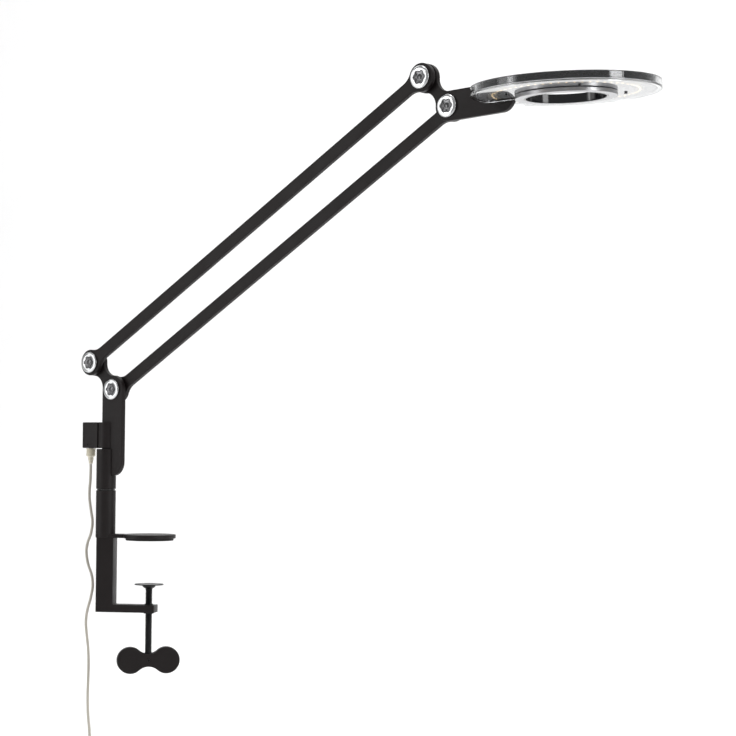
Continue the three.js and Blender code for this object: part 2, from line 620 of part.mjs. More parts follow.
/** Plug-in power adapter: strain relief on top, moulded body, two contact blades at the back. */
function wallAdapter() {
  const { w, d, h, edge, relief, reliefR, reliefBase } = ADAPTER;
  const top = -relief;
  const rounded = new THREE.Shape([
    ...arc(new THREE.Vector2(w / 2 - edge, d / 2 - edge), edge, 0, Math.PI / 2, 3),
    ...arc(new THREE.Vector2(edge - w / 2, d / 2 - edge), edge, Math.PI / 2, Math.PI, 3),
    ...arc(new THREE.Vector2(edge - w / 2, edge - d / 2), edge, Math.PI, Math.PI * 1.5, 3),
    ...arc(new THREE.Vector2(w / 2 - edge, edge - d / 2), edge, Math.PI * 1.5, Math.PI * 2, 3),
  ]);
  const body = new THREE.ExtrudeGeometry(rounded, { depth: h, bevelEnabled: false });
  const boot = turnZ([
    [0, top - THROUGH], [reliefR, top - THROUGH], [reliefR, top + reliefBase],
    [PLUG.tail, -EDGE], [PLUG.tail, 0], [0, 0],
  ], SMALL_STEPS);
  const blades = [-1, 1].map((sign) => block(
    [sign * BLADE.spacing / 2 - BLADE.t / 2, d / 2 - THROUGH, top - BLADE.down - BLADE.w / 2],
    [sign * BLADE.spacing / 2 + BLADE.t / 2, d / 2 + BLADE.h, top - BLADE.down + BLADE.w / 2],
  ));
  return carve(body.translate(0, 0, top - h), { add: [boot, ...blades] });
}

const adapter = node('wall_adapter', wallAdapter(), FINISH.rubber());
adapter.position.set(COIL_CENTRE.x, 0, cordTail.at(-1)[2] - SEAT);
swivelGroup.add(
  node('cord_tube', cordTube(cordRoute, 44), FINISH.cord()),
  node('cord_coil', cordCoil(), FINISH.cord()),
  node('cord_tail', cordTube(cordTail, 4), FINISH.cord()),
  adapter,
);

// ---------------------------------------------------------------- arm linkage
// Layers across the arm: upper bar in front of the plates, lower bar behind them.
const LAYER = FRICTION_T + 2 * SEAT;
const UPPER_BAR = { front: -PLATE_HALF - LAYER - BAR_T, back: -PLATE_HALF - LAYER };
const LOWER_BAR = { front: PLATE_HALF + LAYER, back: PLATE_HALF + LAYER + BAR_T };
const PLATE = { front: -PLATE_HALF, back: PLATE_HALF };

function armBar({ front, back }) {
  const outline = barOutline(BAR_LENGTH, BAR_H / 2, BOSS_R, BAR_FLARE);
  const hole = SHAFT_R + SLEEVE_WALL + 2 * SEAT;
  return carve(slab(outline, front, back), {
    cut: [0, BAR_LENGTH].map((x) => screwHoleY(x, 0, hole, front - THROUGH, back + THROUGH)),
  });
}

/** Shoulder screw: flat round head with a recessed socket, shank through both layers. */
function pivotScrew(front, back) {
  const seat = front - SEAT;
  const face = seat - HEAD_SCREW_T;
  const end = back + SEAT + NUT_T - NUT_CROWN;
  return turnY([
    [0, face + SOCKET_DEPTH], [SOCKET_R, face + SOCKET_DEPTH], [SOCKET_R, face + EDGE],
    [SOCKET_R + SOCKET_CHAMFER, face], [HEAD_SCREW_R - CHAMFER, face], [HEAD_SCREW_R, face + CHAMFER],
    [HEAD_SCREW_R, seat], [SHAFT_R, seat], [SHAFT_R, end - EDGE], [SHAFT_R - EDGE, end], [0, end],
  ]);
}

/** Domed cap nut, blind, on the far end of the shank. */
function pivotNut(back) {
  const seat = back + SEAT;
  const bore = SHAFT_R + SEAT;
  const blind = seat + NUT_T - NUT_CROWN + SEAT;
  return turnY([
    [bore, seat], [NUT_R, seat], [NUT_R, seat + NUT_T - NUT_CHAMFER],
    [NUT_R - NUT_CHAMFER, seat + NUT_T], [0, seat + NUT_T + NUT_DOME], [0, blind],
    [bore, blind], [bore, seat],
  ], ROUND_STEPS);
}

const frictionWasher = (low) => turnY([
  [SHAFT_R + RUNNING, low + SEAT], [WASHER_R, low + SEAT], [WASHER_R, low + SEAT + FRICTION_T],
  [SHAFT_R + RUNNING, low + SEAT + FRICTION_T], [SHAFT_R + RUNNING, low + SEAT],
]);

/** Insulating sleeve around the shank inside a bar. */
const pivotSleeve = ({ front, back }) => turnY([
  [SHAFT_R + RUNNING, front], [SHAFT_R + RUNNING + SLEEVE_WALL, front],
  [SHAFT_R + RUNNING + SLEEVE_WALL, back], [SHAFT_R + RUNNING, back], [SHAFT_R + RUNNING, front],
], ROUND_STEPS);

/** The four pieces of one pivot, about Y at the group's origin. */
function pivot(number, bar, at) {
  const front = Math.min(bar.front, PLATE.front);
  const back = Math.max(bar.back, PLATE.back);
  const between = bar === UPPER_BAR ? bar.back : PLATE.back;
  const group = new THREE.Group();
  group.position.set(at.x, 0, at.y);
  group.add(
    node(`pivot_screw_${number}`, pivotScrew(front, back), FINISH.chrome()),
    node(`pivot_washer_${number}`, frictionWasher(between), FINISH.nylon()),
    node(`pivot_sleeve_${number}`, pivotSleeve(bar), FINISH.nylon()),
    node(`pivot_nut_${number}`, pivotNut(back), FINISH.chrome()),
  );
  return group;
}

const along = new THREE.Vector2(Math.cos(rad(ARM_LIFT)), Math.sin(rad(ARM_LIFT)));
const headLower = BASE_PIVOT.clone().addScaledVector(along, BAR_LENGTH);
const headUpper = headLower.clone().add(LINK);

const BARS = [['lower_bar', LOWER_BAR, BASE_PIVOT], ['upper_bar', UPPER_BAR, baseUpper]];
for (const [name, bar, at] of BARS) {
  const mesh = node(name, armBar(bar), FINISH.blackCoat());
  mesh.position.set(at.x, 0, at.y);
  mesh.rotation.y = -rad(ARM_LIFT);
  swivelGroup.add(mesh);
}
swivelGroup.add(
  pivot(1, LOWER_BAR, BASE_PIVOT),
  pivot(2, UPPER_BAR, baseUpper),
  pivot(3, LOWER_BAR, headLower),
  pivot(4, UPPER_BAR, headUpper),
);

// ---------------------------------------------------------------- head bracket
const pitch = rad(BRACKET_PITCH);
const hingeAt = headLower.clone()
  .add(new THREE.Vector2(Math.cos(pitch), Math.sin(pitch)).multiplyScalar(BRACKET_REACH));

function headBracket() {
  const pinHole = screwHoleY(hingeAt.x, hingeAt.y, HINGE.pin + 2 * RUNNING, -PLATE_THK, PLATE_THK);
  return lobedPlate(headLower, hingeAt, BRACKET_R, headUpper, [pinHole]);
}
swivelGroup.add(node('head_bracket', headBracket(), FINISH.blackCoat()));

// ---------------------------------------------------------------- head
// The head's frame: origin on the hinge pin, the ring's mid plane at z = 0.
const LENS_LOW = -RING_T / 2;
const LENS_TOP = LENS_LOW + LENS_T;
const RING_TOP = RING_T / 2;
const HOUSING_R = RING_R - RIM_WALL - SEAT;
const HOUSING_LOW = RING_TOP - HOUSING_T;
const HUB_LOW = LENS_LOW - HUB_DROP;
const TRAY_LOW = LENS_TOP + SEAT;
const TRAY_TOP = TRAY_LOW + TRAY_T;
const SLOT_HALF = PLATE_HALF + SLOT_CLEAR;
const SLOT_END = BRACKET_R + SLOT_CLEAR;
const BLOCK_OUT = SLOT_HALF + HINGE.block;
const BLOCK_TOP = RING_TOP - HINGE.cover;

const aboutRing = (geometry) => geometry.translate(RING_OFFSET, 0, 0);
const bracketSlot = (half) =>
  block([-RING_R, -half, HUB_LOW - THROUGH], [SLOT_END + (half - SLOT_HALF), half, RING_TOP + THROUGH]);

const HUB_SCREW_TIP = HOUSING_LOW + HUB_SCREWS.grip;
const hubScrewAngles = Array.from({ length: HUB_SCREWS.count }, (_, i) =>
  rad(HUB_SCREWS.first + i * 360 / HUB_SCREWS.count));
const onHubScrew = (geometry, angle) => geometry.translate(
  RING_OFFSET + HUB_SCREWS.ring * Math.cos(angle), HUB_SCREWS.ring * Math.sin(angle), 0);
const hubScrewHoles = (r) => hubScrewAngles.map((angle) =>
  onHubScrew(rodZ(r, LENS_LOW - THROUGH, HUB_SCREW_TIP + SEAT, SMALL_STEPS), angle));

/** Clear outer ring with a thin lens floor that runs in to the hub. */
function headRim() {
  const inner = RING_R - RIM_WALL;
  const rim = turnZ([
    [HOLE_R + HOLE_WALL + SEAT, LENS_LOW], [RING_R - CHAMFER, LENS_LOW], [RING_R, LENS_LOW + CHAMFER],
    [RING_R, RING_TOP - CHAMFER], [RING_R - CHAMFER, RING_TOP], [inner, RING_TOP], [inner, LENS_TOP],
    [HOLE_R + HOLE_WALL + SEAT, LENS_TOP], [HOLE_R + HOLE_WALL + SEAT, LENS_LOW],
  ], RING_STEPS);
  return carve(aboutRing(rim), {
    cut: [bracketSlot(SLOT_HALF), ...hubScrewHoles(HUB_SCREWS.shank + SEAT)],
  });
}

/** Black dished housing: deep at the rim, thin at the hole, with a skirt down the hole. */
function headHousing() {
  const skirt = HOLE_R + HOLE_WALL;
  const housing = turnZ([
    [HOLE_R, HUB_LOW], [skirt, HUB_LOW], [skirt, HOUSING_LOW], [HOUSING_R, HOUSING_LOW],
    [HOUSING_R, RING_TOP - EDGE], [HOUSING_R - EDGE, RING_TOP], [HOUSING_R - LAND, RING_TOP],
    [HUB_R, DISH_Z + EDGE], [HOLE_R + EDGE, DISH_Z], [HOLE_R, DISH_Z - EDGE], [HOLE_R, HUB_LOW],
  ], RING_STEPS);
  const pocket = block([-HINGE.width / 2 - SEAT, -BLOCK_OUT - SEAT, LENS_TOP],
    [HINGE.width / 2 + SEAT, BLOCK_OUT + SEAT, BLOCK_TOP + SEAT]);
  return carve(aboutRing(housing), {
    cut: [bracketSlot(SLOT_HALF), pocket, ...hubScrewHoles(HUB_SCREWS.shank + SEAT)],
  });
}

/** Flat ring between lens and housing, stopped short of the hinge. */
function trayRing(inner, outer, cuts = []) {
  return carve(aboutRing(ringZ(inner, outer, TRAY_LOW, TRAY_TOP, RING_STEPS)), {
    cut: [bracketSlot(BLOCK_OUT + SEAT), ...cuts],
  });
}

function hubRing() {
  const inner = HOLE_R + HOLE_WALL + SEAT;
  return aboutRing(turnZ([
    [inner, HUB_LOW], [HUB_R - CHAMFER, HUB_LOW], [HUB_R, HUB_LOW + CHAMFER], [HUB_R, LENS_LOW - SEAT],
    [inner, LENS_LOW - SEAT], [inner, HUB_LOW],
  ], RING_STEPS));
}

function hubScrew(angle) {
  const { r, head, shank } = HUB_SCREWS;
  const seat = LENS_LOW - SEAT;
  return onHubScrew(turnZ([
    [0, seat - head], [r - EDGE, seat - head], [r, seat - head + EDGE], [r, seat], [shank, seat],
    [shank, HUB_SCREW_TIP], [0, HUB_SCREW_TIP],
  ], SMALL_STEPS), angle);
}

const dimmerBlock = (grow) => block(
  [DIMMER.ring - DIMMER.w / 2 - grow, -DIMMER.d / 2 - grow, TRAY_LOW - grow],
  [DIMMER.ring + DIMMER.w / 2 + grow, DIMMER.d / 2 + grow, TRAY_LOW + DIMMER.t + grow],
).rotateZ(rad(DIMMER.angle)).translate(RING_OFFSET, 0, 0);

/** Knuckle that carries the hinge pin beside the bracket. */
function hingeBlock(side) {
  const [near, far] = [SLOT_HALF + SEAT, BLOCK_OUT];
  const body = block([-HINGE.width / 2, Math.min(side * near, side * far), LENS_TOP + SEAT],
    [HINGE.width / 2, Math.max(side * near, side * far), BLOCK_TOP]);
  return carve(body, { cut: [rodY(HINGE.pin + SEAT, -2 * BLOCK_OUT, 2 * BLOCK_OUT, SMALL_STEPS)] });
}

const hingePin = () => rodY(HINGE.pin, EDGE - BLOCK_OUT, BLOCK_OUT - EDGE, SMALL_STEPS);

function hingeWasher(side) {
  const middle = side * (PLATE_HALF + SLOT_CLEAR / 2);
  const [low, high] = [middle - HINGE.washerT / 2, middle + HINGE.washerT / 2];
  const [bore, outer] = [HINGE.pin + SEAT, HINGE.washer];
  return turnY([[bore, low], [outer, low], [outer, high], [bore, high], [bore, low]], SMALL_STEPS);
}

const headGroup = new THREE.Group();
headGroup.position.set(hingeAt.x, 0, hingeAt.y);
headGroup.rotation.set(rad(HEAD_ROLL), -rad(HEAD_PITCH), 0, 'YXZ');
headGroup.add(
  node('head_rim', headRim(), FINISH.clear()),
  node('head_housing', headHousing(), FINISH.blackGloss()),
  node('reflector_inner', trayRing(HUB_R + SEAT, LED_R - LED_BAND / 2 - SEAT,
    [dimmerBlock(SEAT), ...hubScrewHoles(HUB_SCREWS.shank + SEAT)]), FINISH.white()),
  node('led_board', trayRing(LED_R - LED_BAND / 2, LED_R + LED_BAND / 2), FINISH.circuit()),
  node('reflector_outer', trayRing(LED_R + LED_BAND / 2 + SEAT, HOUSING_R), FINISH.white()),
  node('hub_ring', hubRing(), FINISH.satinAlu()),
  node('dimmer_module', dimmerBlock(0), FINISH.brass()),
  ...hubScrewAngles.map((angle, i) => node(`hub_screw_${i + 1}`, hubScrew(angle), FINISH.blackOxide())),
  node('hinge_pin', hingePin(), FINISH.steel()),
);
for (const [side, label] of [[-1, 'front'], [1, 'back']]) {
  headGroup.add(
    node(`hinge_block_${label}`, hingeBlock(side), FINISH.satinAlu()),
    node(`hinge_washer_${label}`, hingeWasher(side), FINISH.nylon()),
  );
}
swivelGroup.add(headGroup);

// ---------------------------------------------------------------- the lamp
const lamp = new THREE.Group();
lamp.name = 'architect_desk_lamp';
lamp.add(clampGroup, screwGroup, swivelGroup);

export default lamp;
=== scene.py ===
"""Architect desk lamp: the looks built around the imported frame.

Lengths inside the classes are millimetres in the part's own frames; Place.row() turns them into
metres of the row frame. Each sub-assembly is a class that builds its pieces and dresses them.
"""

import json
import logging
import math
from collections.abc import Iterable, Sequence
from dataclasses import dataclass, field
from enum import Enum

import bpy
import numpy as np
from mathutils import Matrix, Vector
from mathutils.geometry import tessellate_polygon

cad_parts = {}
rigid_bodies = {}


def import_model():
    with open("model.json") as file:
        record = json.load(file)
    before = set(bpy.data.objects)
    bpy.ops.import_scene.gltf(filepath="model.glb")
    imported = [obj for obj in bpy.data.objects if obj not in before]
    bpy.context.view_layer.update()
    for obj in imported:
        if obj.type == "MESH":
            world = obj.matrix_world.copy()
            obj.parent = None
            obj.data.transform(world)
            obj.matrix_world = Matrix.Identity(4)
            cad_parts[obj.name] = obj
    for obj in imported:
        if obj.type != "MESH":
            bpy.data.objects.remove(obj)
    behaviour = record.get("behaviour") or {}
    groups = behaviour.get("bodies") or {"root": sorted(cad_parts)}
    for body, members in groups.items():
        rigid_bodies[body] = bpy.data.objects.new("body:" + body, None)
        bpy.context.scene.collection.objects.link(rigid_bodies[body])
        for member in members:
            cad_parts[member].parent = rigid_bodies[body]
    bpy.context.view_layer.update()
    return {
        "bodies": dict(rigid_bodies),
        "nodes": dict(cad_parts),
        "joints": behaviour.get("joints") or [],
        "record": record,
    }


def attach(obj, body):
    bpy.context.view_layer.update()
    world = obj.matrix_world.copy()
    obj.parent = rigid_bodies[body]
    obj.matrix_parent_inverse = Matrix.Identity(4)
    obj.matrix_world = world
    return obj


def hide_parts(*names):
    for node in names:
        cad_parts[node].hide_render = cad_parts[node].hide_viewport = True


Array = np.ndarray
log = logging.getLogger("lamp")
FLAT_SUPPORT = 0.12  # distance from a rounded edge to the loop that keeps the face beside it flat
SHARP_ANGLE = math.radians(32)


# ---------------------------------------------------------------- places
def turned(axis: Sequence[float], degrees: float) -> Array:
    """Rotation matrix about an axis, by the right-hand rule.

    Args:
        axis: direction, of any length.
        degrees: angle.

    Returns:
        A 3x3 array.
    """
    return np.array(Matrix.Rotation(math.radians(degrees), 3, Vector(axis)))


@dataclass(frozen=True)
class Place:
    """A frame in millimetres: a turn, then a shift."""

    turn: Array
    shift: Array

    def row(self, points: Array) -> Array:
        """Points of this frame as metres of the row frame."""
        return (np.asarray(points, float) @ self.turn.T + self.shift) / 1000

    def inside(self, shift: Sequence[float], turn: Array | None = None) -> "Place":
        """A frame placed inside this one.

        Args:
            shift: its origin in this frame.
            turn: its turn in this frame, none if left out.

        Returns:
            The new place.
        """
        turn = np.eye(3) if turn is None else turn
        return Place(self.turn @ turn, self.turn @ np.asarray(shift, float) + self.shift)


@dataclass(frozen=True)
class Layout:
    """Driving sizes that several sub-assemblies share, in millimetres and degrees."""

    reach: float = 55.2
    groove_z: float = 60.8
    post_r: float = 12.0
    arm_turn: float = -30.0
    arm_lift: float = 30.86
    bar_length: float = 584.0
    link: tuple[float, float] = (-30.65, 32.92)
    base_pivot: tuple[float, float] = (11.6, 122.13)
    plate_half: float = 3.1
    layer: float = 1.8
    bar_t: float = 6.0
    seat: float = 0.3
    bracket_reach: float = 69.07
    bracket_pitch: float = 2.6
    head_pitch: float = 0.75
    head_roll: float = 2.87
    ring_offset: float = 79.4
    knob_z: float = -144.8
    knob_turn: float = 22.0
    base_half: float = 16.9
    base_end: float = 88.2
    plate_screw_x: float = 2.5
    plate_screw_z: tuple[float, float] = (31.0, 43.0)
    plate_screw_hole: float = 2.3
    hinge_hole_r: float = 2.6

    @property
    def base_upper(self) -> Array:
        """Upper pivot of the base plate, in the arm's XZ plane."""
        return np.add(self.base_pivot, self.link)

    @property
    def head_lower(self) -> Array:
        """Lower pivot of the head bracket."""
        lift = math.radians(self.arm_lift)
        return np.add(self.base_pivot, (self.bar_length * math.cos(lift), self.bar_length * math.sin(lift)))

    @property
    def head_upper(self) -> Array:
        """Upper pivot of the head bracket."""
        return self.head_lower + self.link

    @property
    def hinge(self) -> Array:
        """Tilt hinge of the head."""
        pitch = math.radians(self.bracket_pitch)
        return self.head_lower + self.bracket_reach * np.array([math.cos(pitch), math.sin(pitch)])


LAYOUT = Layout()
ROW = Place(np.eye(3), np.zeros(3))
ARM = ROW.inside((-LAYOUT.reach, 0, LAYOUT.groove_z), turned((0, 0, 1), LAYOUT.arm_turn))
HEAD = ARM.inside(
    (LAYOUT.hinge[0], 0, LAYOUT.hinge[1]),
    turned((0, 1, 0), -LAYOUT.head_pitch) @ turned((1, 0, 0), LAYOUT.head_roll),
)
RING = HEAD.inside((LAYOUT.ring_offset, 0, 0))
KNOB = ROW.inside((0, 0, LAYOUT.knob_z), turned((0, 0, 1), LAYOUT.knob_turn))


# ---------------------------------------------------------------- surfaces
@dataclass
class Shell:
    """One closed surface: points, polygons, and a flat coordinate for each polygon corner."""

    points: Array
    faces: list
    flat: list

    def moved(self, shift: Sequence[float], turn: Array | None = None) -> "Shell":
        """The shell turned, then shifted.

        Args:
            shift: added to each point.
            turn: matrix, none if left out.

        Returns:
            The moved shell.
        """
        turn = np.eye(3) if turn is None else turn
        return Shell(self.points @ turn.T + np.asarray(shift, float), self.faces, self.flat)

    def outward(self) -> "Shell":
        """The shell with its faces pointing out, told by the sign of its volume.

        Returns:
            The shell itself, or one with every face turned round.
        """
        volume = 0.0
        p = self.points
        for size in {len(f) for f in self.faces}:
            loops = np.array([f for f in self.faces if len(f) == size])
            for k in range(1, size - 1):
                a, b, c = p[loops[:, 0]], p[loops[:, k]], p[loops[:, k + 1]]
                volume += float(np.einsum("ij,ij->", a, np.cross(b, c)))
        if volume >= 0:
            return self
        return Shell(p, [f[::-1] for f in self.faces], [f[::-1] for f in self.flat])


def swept(rows: Array, closed: bool = False) -> Shell:
    """Surface through rows of points, each row a closed loop.

    A quad joins each point to its neighbours on its own row and on the next. A first or last row
    that has shrunk to one point becomes a fan, so the surface closes there.

    Args:
        rows: array (rows, points, 3).
        closed: the last row joins the first.

    Returns:
        The shell; u runs round each row and v from row to row, both from 0 to 1.
    """
    m, n = rows.shape[:2]
    steps = m if closed else m - 1
    i, j = np.meshgrid(np.arange(steps), np.arange(n), indexing="ij")
    after, beside = (i + 1) % m, (j + 1) % n
    quads = np.stack([i * n + j, after * n + j, after * n + beside, i * n + beside], -1)
    u = np.stack([j, j, j + 1, j + 1], -1) / n
    v = np.stack([i, i + 1, i + 1, i], -1) / steps
    flat = np.stack([u, v], -1)
    faces, corners = [], []
    for k in range(steps):
        first = not closed and k == 0 and np.ptp(rows[0], 0).max() < 1e-7
        last = not closed and k == steps - 1 and np.ptp(rows[-1], 0).max() < 1e-7
        keep = [0, 1, 2] if first else [0, 1, 3] if last else [0, 1, 2, 3]
        ring = quads[k][:, keep].copy()
        if first:
            ring[:, 0] = 0
        if last:
            ring[:, 1] = (m - 1) * n
        faces += ring.tolist()
        corners += flat[k][:, keep].tolist()
    return Shell(rows.reshape(-1, 3), faces, corners).outward()


def softened(
    profile: Sequence[Sequence[float]], radius: float, closed: bool = False, steps: int = 4
) -> Array:
    """Polyline whose corners are rounded.

    Each corner B between A and C becomes the curve (1-t)^2 P + 2t(1-t) B + t^2 Q, where P and Q
    lie on the two sides at the rounding distance, with one more point on each flat beside it.

    Args:
        profile: corners (r, h).
        radius: rounding distance, shortened where a side is too short for it.
        closed: the last corner joins the first.
        steps: segments of each rounding.

    Returns:
        Array (points, 2).
    """
    p = np.asarray(profile, float)
    t = np.linspace(0, 1, steps + 1)[:, None]
    made = [] if closed else [p[:1]]
    for k in range(0 if closed else 1, len(p) if closed else len(p) - 1):
        before, corner, after = p[k - 1], p[k], p[(k + 1) % len(p)]
        la, lc = np.linalg.norm(before - corner), np.linalg.norm(after - corner)
        da, dc = (before - corner) / la, (after - corner) / lc
        r = min(radius, 0.42 * la, 0.42 * lc)
        s = min(r + FLAT_SUPPORT, 0.46 * la, 0.46 * lc)
        start, end = corner + da * r, corner + dc * r
        curve = (1 - t) ** 2 * start + 2 * t * (1 - t) * corner + t**2 * end
        made.append(np.vstack([corner + da * s, curve, corner + dc * s]))
    if not closed:
        made.append(p[-1:])
    return np.vstack(made)


def lathe(
    profile: Array, steps: int = 96, closed: bool = False, lobes: Array | None = None, count: int = 6
) -> Shell:
    """Surface of a profile turned about Z: (r cos a, r sin a, h).

    Args:
        profile: points (r, h), from axis to axis unless closed.
        steps: points round the turn.
        closed: the profile joins itself, as for a ring.
        lobes: for each profile point, how far its circle waves in and out, as a share of r.
        count: waves in a full turn.

    Returns:
        The shell.
    """
    angle = np.arange(steps) * 2 * math.pi / steps
    r, h = profile[:, :1], profile[:, 1:]
    if lobes is not None:
        r = r * (1 + lobes[:, None] * np.cos(count * angle))
    rows = np.stack([r * np.cos(angle), r * np.sin(angle), h + 0 * angle], -1)
    return swept(rows, closed)


def section(inner: float, outer: float, low: float, high: float) -> list[tuple[float, float]]:
    """Corners (r, h) of a rectangle to be turned: a rod where inner is 0, else a ring.

    Args:
        inner: least r.
        outer: greatest r.
        low: least h.
        high: greatest h.

    Returns:
        The four corners in order.
    """
    return [(inner, low), (outer, low), (outer, high), (inner, high)]


def rod(r: float, low: float, high: float, steps: int = 64, soft: float = 0.0) -> Shell:
    """Cylinder about Z, with its rims rounded where soft is above 0.

    Args:
        r: radius.
        low: foot.
        high: top.
        steps: points round the turn.
        soft: rounding of the rims.

    Returns:
        The shell.
    """
    corners = section(0, r, low, high)
    return lathe(softened(corners, soft) if soft else np.array(corners, float), steps)


def washer_ring(inner: float, outer: float, low: float, high: float, soft: float, steps: int) -> Shell:
    """Flat ring about Z with rounded rims.

    Args:
        inner: radius of the hole.
        outer: outer radius.
        low: foot.
        high: top.
        soft: rounding of the rims.
        steps: points round the turn.

    Returns:
        The shell.
    """
    return lathe(softened(section(inner, outer, low, high), soft, True, 2), steps, True)


def about_y(shell: Shell) -> Shell:
    """A shell turned about Z laid over, so that its axis is Y and its heights run along +Y."""
    return shell.moved((0, 0, 0), turned((1, 0, 0), -90))


def arc(centre: Sequence[float], r: float, start: float, end: float, steps: int = 24) -> Array:
    """Points of an arc about a centre between two angles in radians.

    Args:
        centre: of the arc.
        r: radius.
        start: first angle.
        end: last angle.
        steps: segments.

    Returns:
        Array (steps + 1, 2).
    """
    angle = np.linspace(start, end, steps + 1)
    return np.stack([centre[0] + r * np.cos(angle), centre[1] + r * np.sin(angle)], -1)


def box_outline(x0: float, z0: float, x1: float, z1: float, r: float, steps: int = 5) -> Array:
    """Rectangle with four round corners.

    Args:
        x0: left side.
        z0: foot.
        x1: right side.
        z1: top.
        r: radius of the corners.
        steps: segments of each corner.

    Returns:
        Array (points, 2).
    """
    corners = [((x1 - r, z1 - r), 0), ((x0 + r, z1 - r), 1), ((x0 + r, z0 + r), 2), ((x1 - r, z0 + r), 3)]
    q = math.pi / 2
    return np.vstack([arc(c, r, k * q, (k + 1) * q, steps) for c, k in corners])


def trimmed(points: Array) -> Array:
    """A closed outline without points that repeat their neighbour.

    Args:
        points: closed outline (n, 2).

    Returns:
        The points that are left.
    """
    gap = np.linalg.norm(points - np.roll(points, 1, 0), axis=1)
    return points[gap > 1e-4]


def outline_normals(points: Array) -> Array:
    """Outward unit normals of a closed outline, from each point's two neighbours.

    Args:
        points: closed outline (n, 2).

    Returns:
        Array (n, 2).
    """
    along = np.roll(points, -1, 0) - np.roll(points, 1, 0)
    normal = np.stack([along[:, 1], -along[:, 0]], -1)
    following = np.roll(points, -1, 0)
    area = np.sum(points[:, 0] * following[:, 1] - points[:, 1] * following[:, 0])
    return normal / np.linalg.norm(normal, axis=1, keepdims=True) * np.sign(area)


def plate(
    outline: Array, low: float, high: float, edge: float, holes: Iterable[Array] = (), steps: int = 3
) -> Shell:
    """Flat plate with rounded edges, its outline in XZ and its thickness along Y.

    Each loop of the outline is repeated at a set of (inset, y) pairs: the inset follows a quarter
    circle in from the face, stays 0 along the side, and follows another out to the other face.
    The faces are triangles between the outermost loops.

    Args:
        outline: closed outer loop.
        low: y of one face.
        high: y of the other.
        edge: radius of the rounding.
        holes: closed loops of the holes.
        steps: segments of the rounding.

    Returns:
        The shell.
    """
    quarter = np.linspace(0, math.pi / 2, steps + 1)
    inset, depth = edge * (1 - np.sin(quarter)), edge * (1 - np.cos(quarter))
    support = edge + FLAT_SUPPORT
    ins = np.concatenate([[support], inset, inset[::-1], [support]])
    ys = np.concatenate([[low], low + depth, high - depth[::-1], [high]])
    points, faces, flat, start = [], [], [], 0
    loops = [(trimmed(outline), 1.0)] + [(trimmed(h), -1.0) for h in holes]
    for loop, sign in loops:
        shifted = loop[None] - sign * ins[:, None, None] * outline_normals(loop)[None]
        rows = np.stack([shifted[..., 0], ys[:, None] + 0 * shifted[..., 0], shifted[..., 1]], -1)
        wall = swept(rows)
        ring = [[start + k for k in f] for f in wall.faces]
        is_flipped = _faces_in(rows, sign)
        faces += [f[::-1] for f in ring] if is_flipped else ring
        flat += [c[::-1] for c in wall.flat] if is_flipped else wall.flat
        points.append(rows.reshape(-1, 3))
        start += rows.shape[0] * rows.shape[1]
    for last in (False, True):
        rims, index, start = [], [], 0
        for block, (loop, _) in zip(points, loops):
            n = len(loop)
            offset = len(block) - n if last else 0
            rims.append([Vector((p[0], p[2], 0)) for p in block[offset : offset + n]])
            index += range(start + offset, start + offset + n)
            start += len(block)
        for a, b, c in tessellate_polygon(rims):
            corner = [index[a], index[b], index[c]]
            p = np.vstack(points)[corner]
            up = np.cross(p[1] - p[0], p[2] - p[0])[1]
            if (up > 0) != last:
                corner.reverse()
            faces.append(corner)
            flat.append([[0.0, 0.0]] * 3)
    return Shell(np.vstack(points), faces, flat)


def _faces_in(rows: Array, sign: float) -> bool:
    """Whether a wall's face points into the material: inwards on the outer loop, outwards on a hole's.

    Args:
        rows: loops of the wall (rows, points, 3).
        sign: 1 for the outer loop, -1 for a hole.

    Returns:
        True where the wall has to be turned round.
    """
    p = rows.reshape(-1, 3)
    n, middle = rows.shape[1], len(rows) // 2
    a, b, c = p[middle * n - n], p[middle * n], p[middle * n + 1]
    normal = np.cross(b - a, c - a)
    out = outline_normals(rows[middle][:, [0, 2]])[0]
    return bool((normal[0] * out[0] + normal[2] * out[1]) * sign < 0)


def block(x: tuple, y: tuple, z: tuple, edge: float, corner: float | None = None) -> Shell:
    """Box with rounded edges, between two values of each coordinate.

    Args:
        x: its least and greatest x.
        y: its least and greatest y.
        z: its least and greatest z.
        edge: rounding of the front and back edges.
        corner: radius of the four corners in XZ, edge if left out.

    Returns:
        The shell.
    """
    outline = box_outline(x[0], z[0], x[1], z[1], corner or edge, 4)
    return plate(outline, y[0], y[1], edge)


def upright(shell: Shell) -> Shell:
    """A plate stood so that its thickness runs along Z and its outline's second axis along -Y."""
    return shell.moved((0, 0, 0), turned((1, 0, 0), 90))


def tube(path: Array, radius: float, sides: int = 14) -> Shell:
    """Round tube along a path: p(s) + radius (cos a N(s) + sin a B(s)), N and B carried without twist.

    Args:
        path: centreline (n, 3).
        radius: of the tube.
        sides: points round it.

    Returns:
        The shell, closed by fans; v runs along the path.
    """
    tangent = np.gradient(path, axis=0)
    tangent /= np.linalg.norm(tangent, axis=1, keepdims=True)
    normal = np.zeros_like(path)
    normal[0] = np.cross(tangent[0], (0.3, 0.9, 0.2))
    for k in range(1, len(path)):
        normal[k] = normal[k - 1] - tangent[k] * (normal[k - 1] @ tangent[k])
    normal /= np.linalg.norm(normal, axis=1, keepdims=True)
    second = np.cross(tangent, normal)
    angle = np.arange(sides) * 2 * math.pi / sides
    around = np.cos(angle)[None, :, None] * normal[:, None] + np.sin(angle)[None, :, None] * second[:, None]
    rows = path[:, None] + radius * around
    first, last = np.repeat(path[:1, None], sides, 1), np.repeat(path[-1:, None], sides, 1)
    return swept(np.vstack([first, rows, last]))


